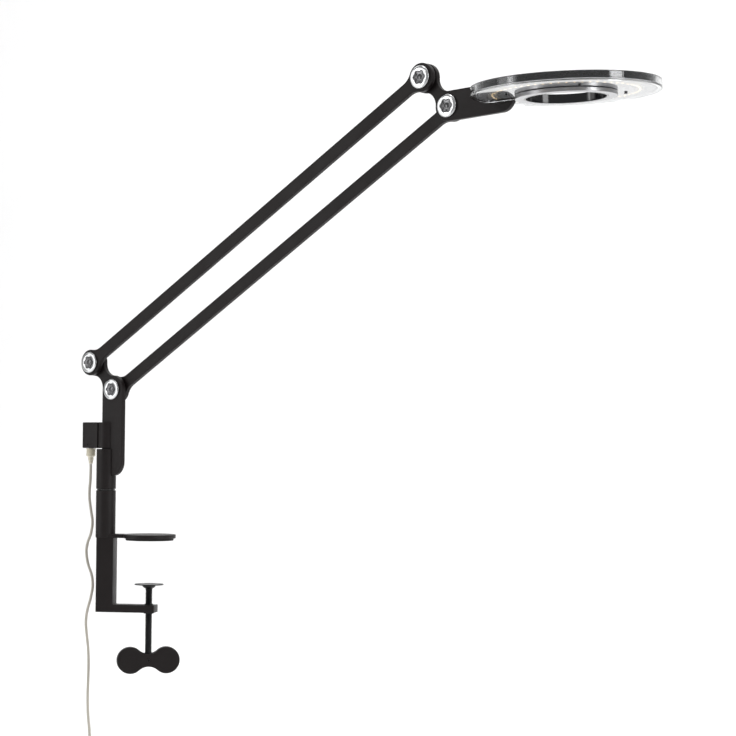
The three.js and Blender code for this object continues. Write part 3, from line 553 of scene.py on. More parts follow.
def smooth_curve(points: Sequence[Sequence[float]], spacing: float = 1.6) -> Array:
    """Centripetal Catmull-Rom curve through points.

    Each span blends linearly between its four nearest points, with knots spaced by the square
    root of the distances, in three rounds.

    Args:
        points: route.
        spacing: distance between the points returned.

    Returns:
        Array (n, 3).
    """
    p = np.asarray(points, float)
    p = np.vstack([2 * p[0] - p[1], p, 2 * p[-1] - p[-2]])
    made = []
    for a, b, c, d in zip(p[:-3], p[1:-2], p[2:-1], p[3:]):
        knots = np.cumsum([0, *(math.sqrt(np.linalg.norm(v)) for v in (b - a, c - b, d - c))])
        t = np.linspace(knots[1], knots[2], max(2, int(np.linalg.norm(c - b) / spacing) + 1))[:, None]

        def mix(low: Array, high: Array, i: int, j: int, t: Array = t, knots: Array = knots) -> Array:
            """Blend of two curves that is low at knot i and high at knot j."""
            return ((knots[j] - t) * low + (t - knots[i]) * high) / (knots[j] - knots[i])

        ab, bc, cd = mix(a, b, 0, 1), mix(b, c, 1, 2), mix(c, d, 2, 3)
        made.append(mix(mix(ab, bc, 0, 2), mix(bc, cd, 1, 3), 1, 2)[:-1])
    return np.vstack([*made, p[-2:-1]])


# ---------------------------------------------------------------- meshes
def new_mesh(name: str, shells: Sequence[Shell], place: Place) -> bpy.types.Mesh:
    """Mesh of closed shells, in metres of the row frame, shaded smooth with sharp corners.

    Args:
        name: of the mesh.
        shells: closed surfaces in the place's millimetres.
        place: frame that they are in.

    Returns:
        The mesh, with a UV map.
    """
    points, faces, flat, start = [], [], [], 0
    for shell in shells:
        points.append(place.row(shell.points))
        faces += [[start + k for k in f] for f in shell.faces]
        flat += [c for f in shell.flat for c in f]
        start += len(shell.points)
    mesh = bpy.data.meshes.new(name)
    mesh.from_pydata(np.vstack(points).tolist(), [], faces)
    layer = mesh.uv_layers.new(name="UVMap")
    layer.data.foreach_set("uv", np.asarray(flat, np.float32).ravel())
    shade(mesh)
    return mesh


def shade(mesh: bpy.types.Mesh) -> None:
    """Smooth shading that stays sharp where two faces meet at a steep angle."""
    mesh.shade_smooth()
    mesh.set_sharp_from_angle(angle=SHARP_ANGLE)
    mesh.update()


def carved(
    name: str, base: Shell, place: Place, add: Sequence[Shell] = (), cut: Sequence[Shell] = ()
) -> bpy.types.Mesh:
    """One closed mesh: the base shell with others joined to it and others cut away.

    Args:
        name: of the mesh.
        base: shell to start from.
        place: frame that all shells are in.
        add: shells joined.
        cut: shells taken away.

    Returns:
        The mesh.
    """
    scene = bpy.context.scene.collection
    target = bpy.data.objects.new(name + "-base", new_mesh(name + "-base", [base], place))
    scene.objects.link(target)
    tools = []
    for operation, shells in (("UNION", add), ("DIFFERENCE", cut)):
        for shell in shells:
            tool = bpy.data.objects.new(name + "-tool", new_mesh(name + "-tool", [shell], place))
            scene.objects.link(tool)
            tools.append(tool)
            modifier = target.modifiers.new(operation, "BOOLEAN")
            modifier.operation, modifier.solver, modifier.object = operation, "EXACT", tool
    bpy.context.view_layer.update()
    mesh = bpy.data.meshes.new_from_object(target.evaluated_get(bpy.context.evaluated_depsgraph_get()))
    for used in (target, *tools):
        old = used.data
        bpy.data.objects.remove(used)
        bpy.data.meshes.remove(old)
    mesh.name = name
    mesh.materials.clear()
    shade(mesh)
    return mesh


# ---------------------------------------------------------------- shader language
class Wave(Enum):
    """Which coordinate a pattern follows."""

    OBJECT = "Object"
    SURFACE = "UV"


class Level:
    """One shader output that can stand in sums; each operator adds one Math node."""

    def __init__(self, shader: "Shader", socket: bpy.types.NodeSocket) -> None:
        """Keeps the shader and the socket that holds the number."""
        self.shader, self.socket = shader, socket

    def _math(self, operation: str, a: object, b: object) -> "Level":
        """A Math node on two numbers or levels."""
        return self.shader.node("ShaderNodeMath", {"operation": operation}, {0: a, 1: b})

    def __add__(self, other: object) -> "Level":
        """Sum."""
        return self._math("ADD", self, other)

    def __sub__(self, other: object) -> "Level":
        """Difference."""
        return self._math("SUBTRACT", self, other)

    def __rsub__(self, other: object) -> "Level":
        """Difference, taken from a number."""
        return self._math("SUBTRACT", other, self)

    def __mul__(self, other: object) -> "Level":
        """Product."""
        return self._math("MULTIPLY", self, other)

    __radd__, __rmul__ = __add__, __mul__

    def __gt__(self, other: object) -> "Level":
        """1 where greater, else 0."""
        return self._math("GREATER_THAN", self, other)


class Shader:
    """A material being built round one Principled shader."""

    def __init__(self, name: str) -> None:
        """Starts an empty material.

        Args:
            name: of the material.
        """
        self.material = bpy.data.materials.new(name)
        self.material.use_nodes = True
        self.tree = self.material.node_tree
        self.principled = self.tree.nodes["Principled BSDF"]

    def node(
        self, kind: str, settings: dict | None = None, inputs: dict | None = None, output: int | str = 0
    ) -> Level:
        """Adds a node.

        Args:
            kind: node type.
            settings: its properties, set first; "stops" gives a ramp's (place, colour) pairs.
            inputs: values or levels of its sockets, by name or number.
            output: which output to return.

        Returns:
            The output.
        """
        made = self.tree.nodes.new(kind)
        for key, value in (settings or {}).items():
            if key == "stops":
                ramp = made.color_ramp.elements
                while len(ramp) < len(value):
                    ramp.new(0.5)
                for element, (place, colour) in zip(ramp, value):
                    element.position, element.color = place, (*colour, 1)
            else:
                setattr(made, key, value)
        for key, value in (inputs or {}).items():
            self.feed(made.inputs[key], value)
        return Level(self, made.outputs[output])

    def feed(self, socket: bpy.types.NodeSocket, value: object) -> None:
        """Links a level to a socket, or sets its value.

        Args:
            socket: input of a node.
            value: level, number or colour.
        """
        if isinstance(value, Level):
            self.tree.links.new(value.socket, socket)
        elif isinstance(value, tuple) and len(value) == 3 and socket.type == "RGBA":
            socket.default_value = (*value, 1)
        else:
            socket.default_value = value

    def dress(self, **sockets: object) -> None:
        """Feeds the Principled shader's sockets, named with underscores for spaces."""
        for name, value in sockets.items():
            self.feed(self.principled.inputs[name.replace("_", " ")], value)

    def where(self, wave: Wave = Wave.OBJECT, stretch: tuple = (1, 1, 1), turn: tuple = (0, 0, 0)) -> Level:
        """Coordinates, turned and stretched."""
        source = self.node("ShaderNodeTexCoord", output=wave.value)
        return self.node("ShaderNodeMapping", {}, {"Vector": source, "Scale": stretch, "Rotation": turn})

    def noise(self, at: Level, scale: float, detail: float = 3, roughness: float = 0.55) -> Level:
        """Cloudy pattern from about 0.3 to 0.7."""
        inputs = {"Vector": at, "Scale": scale, "Detail": detail, "Roughness": roughness}
        return self.node("ShaderNodeTexNoise", {}, inputs)

    def cells(self, at: Level, scale: float) -> Level:
        """Distance to the nearest of scattered points."""
        return self.node("ShaderNodeTexVoronoi", {}, {"Vector": at, "Scale": scale}, "Distance")

    def blend(self, share: object, low: tuple, high: tuple) -> Level:
        """Colour between two colours."""
        return self.node("ShaderNodeMix", {"data_type": "RGBA"}, {0: share, 6: low, 7: high}, 2)

    def bump(self, height: Level, depth: float, strength: float = 1.0) -> Level:
        """Normal of a relief of that depth in metres."""
        return self.node("ShaderNodeBump", {}, {"Height": height, "Distance": depth, "Strength": strength})


def tone(colour: tuple, factor: float) -> tuple:
    """A colour made lighter or darker."""
    return tuple(min(1.0, c * factor) for c in colour)


# ---------------------------------------------------------------- finishes
@dataclass(frozen=True)
class Coating:
    """Sprayed or moulded skin: a fine grain, a slower orange peel and a drift of tone."""

    name: str
    colour: tuple
    roughness: float
    drift: float = 0.12
    grain: float = 2600.0
    grain_depth: float = 0.00002
    peel: float = 420.0
    peel_depth: float = 0.00003
    specular: float = 0.5
    coat: float = 0.0
    metallic: float = 0.0
    sheen: float = 0.0

    def make(self) -> bpy.types.Material:
        """Builds the material.

        Returns:
            The material.
        """
        s = Shader(self.name)
        at = s.where()
        slow, fine = s.noise(at, 38, 4), s.noise(at, self.grain, 2)
        relief = s.bump(s.noise(at, self.peel, 2), self.peel_depth)
        grain = s.bump(fine, self.grain_depth)
        s.feed(grain.socket.node.inputs["Normal"], relief)
        speck = s.cells(at, 900) * 0.25
        share = (slow - 0.5) * 1.6 + 0.5 + (speck - 0.12)
        s.dress(
            Base_Color=s.blend(share, tone(self.colour, 1 - self.drift), tone(self.colour, 1 + self.drift)),
            Roughness=(slow - 0.5) * 0.22 + (fine - 0.5) * 0.1 + self.roughness,
            Metallic=self.metallic,
            Normal=grain,
        )
        s.dress(Specular_IOR_Level=self.specular, Coat_Weight=self.coat, Coat_Roughness=0.08)
        s.dress(Sheen_Weight=self.sheen)
        return s.material


@dataclass(frozen=True)
class Turned:
    """Metal with the faint concentric lines of turning or polishing, along the surface's own v."""

    name: str
    colour: tuple
    roughness: float
    lines: float = 160.0
    depth: float = 0.000012
    smear: float = 0.35

    def make(self) -> bpy.types.Material:
        """Builds the material.

        Returns:
            The material.
        """
        s = Shader(self.name)
        ring = s.noise(s.where(Wave.SURFACE, (1.5, self.lines, 1)), 1.0, 4, 0.7)
        cloud = s.noise(s.where(), 160, 3)
        s.dress(
            Base_Color=s.blend(cloud, tone(self.colour, 0.9), tone(self.colour, 1.06)),
            Roughness=(ring - 0.5) * self.smear * self.roughness + (cloud - 0.5) * 0.08 + self.roughness,
            Metallic=1.0,
            Normal=s.bump(ring, self.depth),
        )
        return s.material


@dataclass(frozen=True)
class Acrylic:
    """Clear polished acrylic, very slightly hazed by fine cleaning marks."""

    name: str
    tint: tuple = (0.97, 0.98, 0.99)

    def make(self) -> bpy.types.Material:
        """Builds the material.

        Returns:
            The material.
        """
        s = Shader(self.name)
        at = s.where()
        haze = s.noise(at, 90, 4)
        s.dress(
            Base_Color=s.blend(haze, tone(self.tint, 0.99), self.tint),
            Roughness=(haze - 0.5) * 0.04 + 0.03,
            Normal=s.bump(s.noise(at, 60, 2), 0.00001),
        )
        s.dress(Transmission_Weight=1.0, IOR=1.49, Specular_IOR_Level=0.5)
        return s.material


@dataclass(frozen=True)
class Phosphor:
    """Warm yellow silicone over each light chip, glowing softly."""

    name: str
    colour: tuple = (1.0, 0.74, 0.44)
    glow: float = 3.2

    def make(self) -> bpy.types.Material:
        """Builds the material.

        Returns:
            The material.
        """
        s = Shader(self.name)
        cloud = s.noise(s.where(), 700, 3)
        warm = s.blend(cloud, tone(self.colour, 0.86), self.colour)
        s.dress(Base_Color=warm, Roughness=cloud * 0.2 + 0.3, Emission_Color=warm)
        s.dress(Emission_Strength=self.glow)
        return s.material


@dataclass(frozen=True)
class Lead:
    """Cord jacket: matt PVC with a faint lengthwise drift and fine scuffs."""

    name: str
    colour: tuple = (0.66, 0.62, 0.54)

    def make(self) -> bpy.types.Material:
        """Builds the material.

        Returns:
            The material.
        """
        s = Shader(self.name)
        run = s.noise(s.where(Wave.SURFACE, (2, 260, 1)), 1.0, 3)
        scuff = s.noise(s.where(), 1400, 3)
        share = run * 0.7 + scuff * 0.3
        s.dress(
            Base_Color=s.blend(share, tone(self.colour, 0.86), tone(self.colour, 1.14)),
            Roughness=scuff * 0.2 + 0.3,
            Normal=s.bump(scuff, 0.00002),
        )
        s.dress(Coat_Weight=0.15, Coat_Roughness=0.2)
        return s.material


@dataclass(frozen=True)
class Laminate:
    """Circuit laminate: solder mask with copper tracks that show faintly through it."""

    name: str
    colour: tuple
    track: tuple
    pitch: float = 520.0

    def make(self) -> bpy.types.Material:
        """Builds the material.

        Returns:
            The material.
        """
        s = Shader(self.name)
        at = s.where()
        track = s.cells(at, self.pitch) > 0.42
        cloud = s.noise(at, 300, 3)
        s.dress(
            Base_Color=s.blend(track * 0.5 + (cloud - 0.5) * 0.3, self.colour, self.track),
            Roughness=cloud * 0.2 + 0.25,
            Normal=s.bump(track, 0.00003),
        )
        return s.material


FINISHES = {
    "black_coat": Coating("black_powder_coat", (0.0125, 0.0092, 0.0092), 0.46, specular=0.3),
    "bar_black": Coating("black_bar_coat", (0.0125, 0.0092, 0.0092), 0.46, specular=0.28),
    "head_black": Coating(
        "black_gloss", (0.006, 0.006, 0.007), 0.1, peel_depth=0.000012, grain_depth=0.000004, coat=0.4
    ),
    "chrome": Turned("bright_chrome", (0.86, 0.87, 0.88), 0.07, smear=0.5, depth=0.000006),
    "steel": Turned("ground_steel", (0.56, 0.57, 0.58), 0.32),
    "black_oxide": Coating("oiled_black_oxide", (0.008, 0.008, 0.0085), 0.34, specular=0.35, peel=900.0),
    "jaw_rubber": Coating(
        "jaw_rubber", (0.012, 0.0115, 0.0115), 0.8, grain=1500.0, grain_depth=0.00006, sheen=0.1
    ),
    "nylon": Coating("dark_nylon", (0.03, 0.029, 0.028), 0.5),
    "brass": Turned("turned_brass", (0.56, 0.4, 0.17), 0.3),
    "clear_acrylic": Acrylic("clear_acrylic"),
    "reflector_white": Coating("reflector_white", (0.6, 0.6, 0.615), 0.2, drift=0.05, coat=0.2),
    "circuit_board": Laminate("white_solder_mask", (0.82, 0.8, 0.74), (0.62, 0.58, 0.5)),
    "dimmer": Laminate("bare_laminate", (0.23, 0.12, 0.06), (0.55, 0.33, 0.15), 900.0),
    "satin_aluminium": Turned("satin_aluminium", (0.5, 0.5, 0.51), 0.3, lines=90.0, depth=0.00002),
    "socket_plastic": Coating("socket_plastic", (0.02, 0.02, 0.021), 0.4),
    "plug_ivory": Coating("ivory_vinyl", (0.93, 0.87, 0.7), 0.3, drift=0.06, coat=0.35),
    "cord_grey": Lead("lead_jacket"),
    "adapter_plastic": Coating("adapter_shell", (0.018, 0.018, 0.02), 0.5, grain=1100.0, grain_depth=0.00007),
}
PHOSPHOR = Phosphor("warm_phosphor")
# Darker metal inside the pivot screws' six-lobed recesses: painted shade in the hollow of each bright chrome
# head.
RECESS_SHADE = Turned("recess_painted_shade", (0.16, 0.16, 0.165), 0.22, lines=40.0)


class Wardrobe:
    """Builds each finish once and dresses pieces and CAD nodes with it."""

    def __init__(self) -> None:
        """Starts with no material made."""
        self.made: dict[str, bpy.types.Material] = {}

    def get(self, slot: str) -> bpy.types.Material:
        """The material of a slot of the record.

        Args:
            slot: name of the slot.

        Returns:
            The material.
        """
        if slot not in self.made:
            self.made[slot] = FINISHES[slot].make()
        return self.made[slot]

    def cad(self, frame: dict) -> None:
        """Dresses every CAD node with the finish that its record names.
        """
        for part in frame["record"]["subparts"]:
            mesh = frame["nodes"][part["node"]].data
            mesh.materials.clear()
            mesh.materials.append(self.get(part["material_slot"]))


WARDROBE = Wardrobe()


def piece(
    name: str, mesh: bpy.types.Mesh, body: str, slot: str, *nodes: str,
    extra: Sequence[bpy.types.Material] = (),
) -> bpy.types.Object:
    """Links a mesh as a piece that rides on a body and stands for CAD nodes.

    Args:
        name: of the piece.
        mesh: in metres of the row frame.
        body: that it rides on.
        slot: of the record that it takes its finish from.
        nodes: CAD nodes that it replaces.
        extra: more materials, after the slot's own.

    Returns:
        The object.
    """
    mesh.name = name
    for material in (WARDROBE.get(slot), *extra):
        mesh.materials.append(material)
    made = bpy.data.objects.new(name, mesh)
    bpy.context.scene.collection.objects.link(made)
    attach(made, body)
    if nodes:
        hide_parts(*nodes)
    log.info("%s: %d faces on %s", name, len(mesh.polygons), body)
    return made


def shaped(
    name: str, shells: Sequence[Shell], place: Place, body: str, slot: str, *nodes: str,
    extra: Sequence[bpy.types.Material] = (),
) -> bpy.types.Object:
    """A piece made straight from closed shells in a place; the rest is as for piece().

    Args:
        name: of the piece.
        shells: its closed surfaces.
        place: frame that they are in.
        body: that it rides on.
        slot: of the record that it takes its finish from.
        nodes: CAD nodes that it replaces.
        extra: more materials, after the slot's own.

    Returns:
        The object.
    """
    return piece(name, new_mesh(name, shells, place), body, slot, *nodes, extra=extra)


# ---------------------------------------------------------------- clamp
@dataclass
class Clamp:
    """Screw clamp: post, C spine with two jaws, pad, screw with its plate, and the knob."""

    spine_w: float = 21.2
    spine_d: float = 20.0
    spine_face: float = 12.4
    jaw_t: float = 4.7
    jaw_r: float = 31.7
    pad_t: float = 2.2
    pad_r: float = 29.0
    jaw_gap: float = 78.0
    lower_jaw_t: float = 9.3
    lower_jaw_end: float = 8.8
    edge: float = 0.7
    screw_r: float = 4.3
    step: float = 1.4
    flange_r: float = 6.2
    barrel_r: float = 5.2
    proud: float = 1.2
    open_gap: float = 52.7
    plate_r: float = 17.5
    plate_t: float = 1.5
    hub_r: float = 7.8
    hub_h: float = 4.2
    rivet_t: float = 1.1
    rivet_below: float = 0.2
    pitch: float = 1.5
    thread_depth: float = 0.62
    lobe_r: float = 16.2
    lobe_x: float = 21.9
    waist: float = 7.9
    knob_t: float = 11.0
    knob_edge: float = 2.0
    pin_bore_r: float = 6.8
    pin_bore: tuple = (36.5, 96.5)
    insert_bore_r: float = 5.5
    insert_seat_r: float = 6.5
    through: float = -120.0
    set_pin_r: float = 1.5
    set_hole_r: float = 1.8
    groove_r: float = 11.0
    groove_half: float = 0.5

    @property
    def skirt(self) -> float:
        """Height of the foot of the pressure plate's hub."""
        return -self.open_gap - self.plate_t - self.hub_h

    def frame(self) -> None:
        """Post, spine and jaws as one casting, bored for the swivel pin and the thread insert."""
        gap, top = LAYOUT.seat, LAYOUT.groove_z - self.groove_half - LAYOUT.seat
        post_x, half = -LAYOUT.reach, self.spine_d / 2
        spine_x = post_x + self.spine_face
        low, jaw_low = -self.jaw_gap - self.lower_jaw_t, self.pad_t + gap
        jaw_top = jaw_low + self.jaw_t
        tuck, back = 0.05, spine_x - self.spine_w
        outline = softened(
            [(back, low), (self.lower_jaw_end, low), (self.lower_jaw_end, -self.jaw_gap),
             (spine_x, -self.jaw_gap), (spine_x, jaw_low + tuck), (0, jaw_low + tuck),
             (0, jaw_top - tuck), (back, jaw_top - tuck)], 1.0, True)
        bracket = plate(outline, -half, half, self.edge)
        disc = rod(self.jaw_r, jaw_low, jaw_top, 128, 0.9)
        post = rod(LAYOUT.post_r, jaw_low, top, 96, 0.7)
        pin = rod(self.pin_bore_r, *self.pin_bore)
        screw_bore = rod(self.insert_bore_r, self.through, self.through / 2)
        counterbore = rod(self.insert_seat_r, self.through, low + self.proud)
        mesh = carved(
            "clamp_casting", bracket, ROW, [disc, post.moved((post_x, 0, 0))],
            [pin.moved((post_x, 0, 0)), screw_bore, counterbore],
        )
        piece("clamp_casting", mesh, "clamp", "black_coat", "clamp_frame")

    def pad(self) -> None:
        """Rubber disc under the upper jaw, its face ribbed with shallow rings."""
        rings = np.linspace(self.pad_r - 3, 4, 9)
        face = [(r + s, z) for r in rings for s, z in ((0.9, 0.0), (0.3, 0.35), (-0.3, 0.35), (-0.9, 0.0))]
        corners = [(0, self.pad_t), (self.pad_r, self.pad_t), (self.pad_r, 0), *face, (0, 0)]
        shaped("jaw_pad", [lathe(softened(corners, 0.35, steps=2), 96)], ROW, "clamp",
               "jaw_rubber", "upper_jaw_pad")

    def insert(self) -> None:
        """Threaded bush in the lower jaw with its knurled flange."""
        low = -self.jaw_gap - self.lower_jaw_t - self.proud
        bore, high, flange = self.screw_r + LAYOUT.seat, self.proud - self.jaw_gap, low + 2 * self.proud - 0.3
        profile = softened(
            [(bore, low), (self.flange_r, low), (self.flange_r, flange), (self.barrel_r, flange),
             (self.barrel_r, high), (bore, high)], 0.3, True, 3)
        waves = np.where(profile[:, 0] > self.barrel_r + 0.5, 0.012, 0.0)
        shell = lathe(profile, 144, True, waves, 36)
        shaped("threaded_bush", [shell], ROW, "clamp", "black_oxide", "thread_insert")

    def screw(self) -> None:
        """Screw rod with a real helical thread, a neck under its spun head and a spigot below.

        Along the thread r = R - depth * |2 f - 1|, where f is the fractional part of
        z / pitch - a / 2 pi, and the depth fades out over one pitch at each end.
        """
        neck = self.screw_r - self.step
        head, low = -self.open_gap - self.rivet_below, self.skirt - LAYOUT.seat
        shoulder, tip = LAYOUT.knob_z + self.waist + LAYOUT.seat, LAYOUT.knob_z - self.waist + LAYOUT.seat
        steps = 36
        z = np.arange(low - 0.4, shoulder + 0.4, -self.pitch / 6)
        angle = np.arange(steps) * 2 * math.pi / steps
        turns = z[:, None] / self.pitch - angle[None] / (2 * math.pi)
        crest = np.abs(2 * (turns - np.floor(turns)) - 1)
        fade = np.clip(np.minimum(z[0] - z, z - z[-1]) / self.pitch, 0, 1)[:, None]
        r = self.screw_r - self.thread_depth * fade * np.clip(crest * 1.3 - 0.15, 0, 1)
        thread = np.stack([r * np.cos(angle), r * np.sin(angle), z[:, None] + 0 * r], -1)
        rivet = self.screw_r + 0.7
        top = softened([(0, head), (rivet, head), (rivet, head - self.rivet_t), (neck, head - self.rivet_t),
                        (neck, low), (self.screw_r - 0.3, low)], 0.3)
        foot = softened([(self.screw_r - 0.3, shoulder), (neck, shoulder), (neck, tip), (0, tip)], 0.3)

        def ring(profile: Array) -> Array:
            """Rows of a profile turned about Z, with the thread's own angles."""
            r, h = profile[:, :1], profile[:, 1:]
            return np.stack([r * np.cos(angle), r * np.sin(angle), h + 0 * angle], -1)

        shell = swept(np.vstack([ring(top), thread, ring(foot)]))
        shaped("clamp_screw_rod", [shell], ROW, "clamp_screw", "black_oxide", "clamp_screw")

    def pressure_plate(self) -> None:
        """Thin round plate with a coved hub that swivels on the screw's neck."""
        top, hole = -self.open_gap, self.screw_r - self.step + LAYOUT.seat
        recess, floor = self.screw_r + 1.0, top - self.rivet_below - self.rivet_t - LAYOUT.seat
        under = top - self.plate_t
        cove = [(self.hub_r + 2.6 - 2.6 * math.sin(a), under - 1.9 * (1 - math.cos(a)))
                for a in np.linspace(0, math.pi / 2, 6)[1:]]
        profile = softened(
            [(hole, floor), (recess, floor), (recess, top), (self.plate_r, top), (self.plate_r, under + 0.2),
             (self.hub_r + 2.6, under), *cove, (self.screw_r + 0.5, self.skirt), (hole, self.skirt)],
            0.3, True, 3)
        shaped("swivel_plate", [lathe(profile, 96, True)], ROW, "clamp_plate",
               "black_oxide", "pressure_plate")

    def knob(self) -> None:
        """Figure-of-eight knob with softly rounded edges and a flat for the screw's shoulder."""
        fillet = (self.lobe_x**2 + self.waist**2 - self.lobe_r**2) / (2 * (self.lobe_r - self.waist))
        lobe, half = np.array([self.lobe_x, 0.0]), self.knob_t / 2
        outline = dogbone(-lobe, self.lobe_r, lobe, self.lobe_r, fillet)
        body = plate(outline, -half, half, self.knob_edge, steps=6)
        r = self.screw_r - self.step + LAYOUT.seat
        past = self.lobe_r + 3.8
        bore = rod(r, -past, past, 48)
        flat = rod(self.screw_r + LAYOUT.seat, self.waist, past, 48)
        hole = about_y(rod(self.set_hole_r, -9, 9, 32))
        mesh = carved("thumb_knob", body, KNOB, (), [bore, flat, hole])
        piece("thumb_knob", mesh, "clamp_screw", "bar_black", "wing_knob")
        pin = about_y(rod(self.set_pin_r, 0.3 - half, -r, 32, 0.3))
        shaped("knob_pin", [pin], KNOB, "clamp_screw", "black_oxide", "knob_set_pin")

    def washer(self) -> None:
        """Dark slip washer that shows as the groove of the swivel."""
        half = self.groove_half
        ring = washer_ring(self.pin_bore_r, self.groove_r, -half, half, 0.15, 96)
        shaped("slip_washer", [ring], ARM, "clamp", "nylon", "swivel_washer")

    def build(self) -> None:
        """Makes every piece of the clamp."""
        self.frame()
        self.pad()
        self.insert()
        self.washer()
        self.screw()
        self.pressure_plate()
        self.knob()


# ---------------------------------------------------------------- outlines of the arm
def dogbone_angles(ra: float, rb: float, span: float, fillet: float) -> tuple[float, float]:
    """Angles at two discs between the line that joins them and their fillet's centre.

    Args:
        ra: radius of the first disc.
        rb: radius of the second disc.
        span: distance between their centres.
        fillet: radius of the fillets.

    Returns:
        The angles at the first and at the second disc, in radians.
    """
    da, db = ra + fillet, rb + fillet
    at_a = math.acos((da**2 - db**2 + span**2) / (2 * span * da))
    at_b = math.acos((db**2 - da**2 + span**2) / (2 * span * db))
    return at_a, at_b


def fillet_centres(at: Array, reach: float, along: float, swing: float) -> tuple[Array, Array]:
    """The two fillet centres below and above the line in direction along, at that reach.

    Args:
        at: centre of the disc.
        reach: disc and fillet radius together.
        along: direction of the line, in radians.
        swing: angle from the line, in radians.

    Returns:
        The centre on the lower side and on the upper side.
    """
    below, above = (
        at + reach * np.array([math.cos(along + s * swing), math.sin(along + s * swing)]) for s in (-1, 1)
    )
    return below, above


def dogbone(a: Array, ra: float, b: Array, rb: float, fillet: float) -> Array:
    """Two discs joined by a neck whose sides are arcs tangent to both discs.

    Args:
        a: centre of the first disc.
        ra: its radius.
        b: centre of the second disc.
        rb: its radius.
        fillet: radius of the neck's arcs.

    Returns:
        Array (points, 2).
    """
    span, along = float(np.linalg.norm(b - a)), math.atan2(*(b - a)[::-1])
    at_a, at_b = dogbone_angles(ra, rb, span, fillet)
    pi = math.pi
    below, above = fillet_centres(a, ra + fillet, along, at_a)
    return np.vstack([
        arc(a, ra, along + at_a, along + 2 * pi - at_a, 48),
        arc(below, fillet, along - at_a + pi, along + at_b, 20)[1:],
        arc(b, rb, along + at_b - pi, along + pi - at_b, 48)[1:],
        arc(above, fillet, along - at_b, along + at_a - pi, 20)[1:-1],
    ])


def lobed(pivot: Array, end: Array, half: float, lobe: Array, lobe_r: float, fillet: float) -> Array:
    """Outline of a round-ended plate with a second disc joined to its first by a filleted neck.

    It runs round the pivot's disc to the plate's side, round the far end, back to the pivot, and
    over the neck's two tangent arcs and the lobe.

    Args:
        pivot: centre of the plate's first end.
        end: centre of its far end.
        half: half its width.
        lobe: centre of the second disc.
        lobe_r: its radius.
        fillet: radius of the neck's arcs.

    Returns:
        Array (points, 2).
    """
    span, along = float(np.linalg.norm(lobe - pivot)), math.atan2(*(lobe - pivot)[::-1])
    at_a, at_b = dogbone_angles(half, lobe_r, span, fillet)
    pi = math.pi
    way = math.atan2(*(end - pivot)[::-1]) % (2 * pi)
    way += 2 * pi if way - pi / 2 < along + at_a else 0
    below, above = fillet_centres(pivot, half + fillet, along, at_a)
    side, leave, neck = way + pi / 2, along - at_a + pi, along + 2 * pi - at_a
    if side < neck:
        back = arc(pivot, half, side, neck, 24)
    else:
        back, leave = np.empty((0, 2)), max(leave, way - pi / 2)
    return trimmed(np.vstack([
        arc(pivot, half, along + at_a, way - pi / 2, 24),
        arc(end, half, way - pi / 2, way + pi / 2, 40),
        back,
        arc(below, fillet, leave, along + at_b, 20),
        arc(lobe, lobe_r, along + at_b - pi, along + pi - at_b, 48),
        arc(above, fillet, along - at_b, along + at_a - pi, 20),
    ]))


def bar_outline(length: float, half: float, boss: float, flare: float) -> Array:
    """Flat bar with a round boss at each end and fillets between, along +X from the origin.

    Args:
        length: from boss to boss.
        half: half the bar's height.
        boss: radius of the bosses.
        flare: radius of the fillets.

    Returns:
        Array (points, 2).
    """
    reach = math.sqrt((boss + flare) ** 2 - (half + flare) ** 2)
    tilt, q, pi = math.atan2(half + flare, reach), math.pi / 2, math.pi
    return trimmed(np.vstack([
        arc((0, 0), boss, tilt, 2 * pi - tilt, 56),
        arc((reach, -half - flare), flare, pi - tilt, q, 12),
        arc((length - reach, -half - flare), flare, q, tilt, 12),
        arc((length, 0), boss, tilt - pi, pi - tilt, 56),
        arc((length - reach, half + flare), flare, -tilt, -q, 12),
        arc((reach, half + flare), flare, -q, tilt - pi, 12),
    ]))


def circle(centre: Sequence[float], r: float, steps: int = 40) -> Array:
    """Closed circle.

    Args:
        centre: of the circle.
        r: radius.
        steps: points.

    Returns:
        Array (steps, 2).
    """
    return arc(centre, r, 0, 2 * math.pi, steps)[:-1]


# ---------------------------------------------------------------- arm
class Layer(Enum):
    """Which side of the plates a bar lies on."""

    FRONT = -1
    BACK = 1

    def span(self) -> tuple[float, float]:
        """Front and back faces of the bar, along the arm's Y.

        Returns:
            The y of the front face, then of the back face.
        """
        near = LAYOUT.plate_half + LAYOUT.layer
        far = near + LAYOUT.bar_t
        return (-far, -near) if self is Layer.FRONT else (near, far)


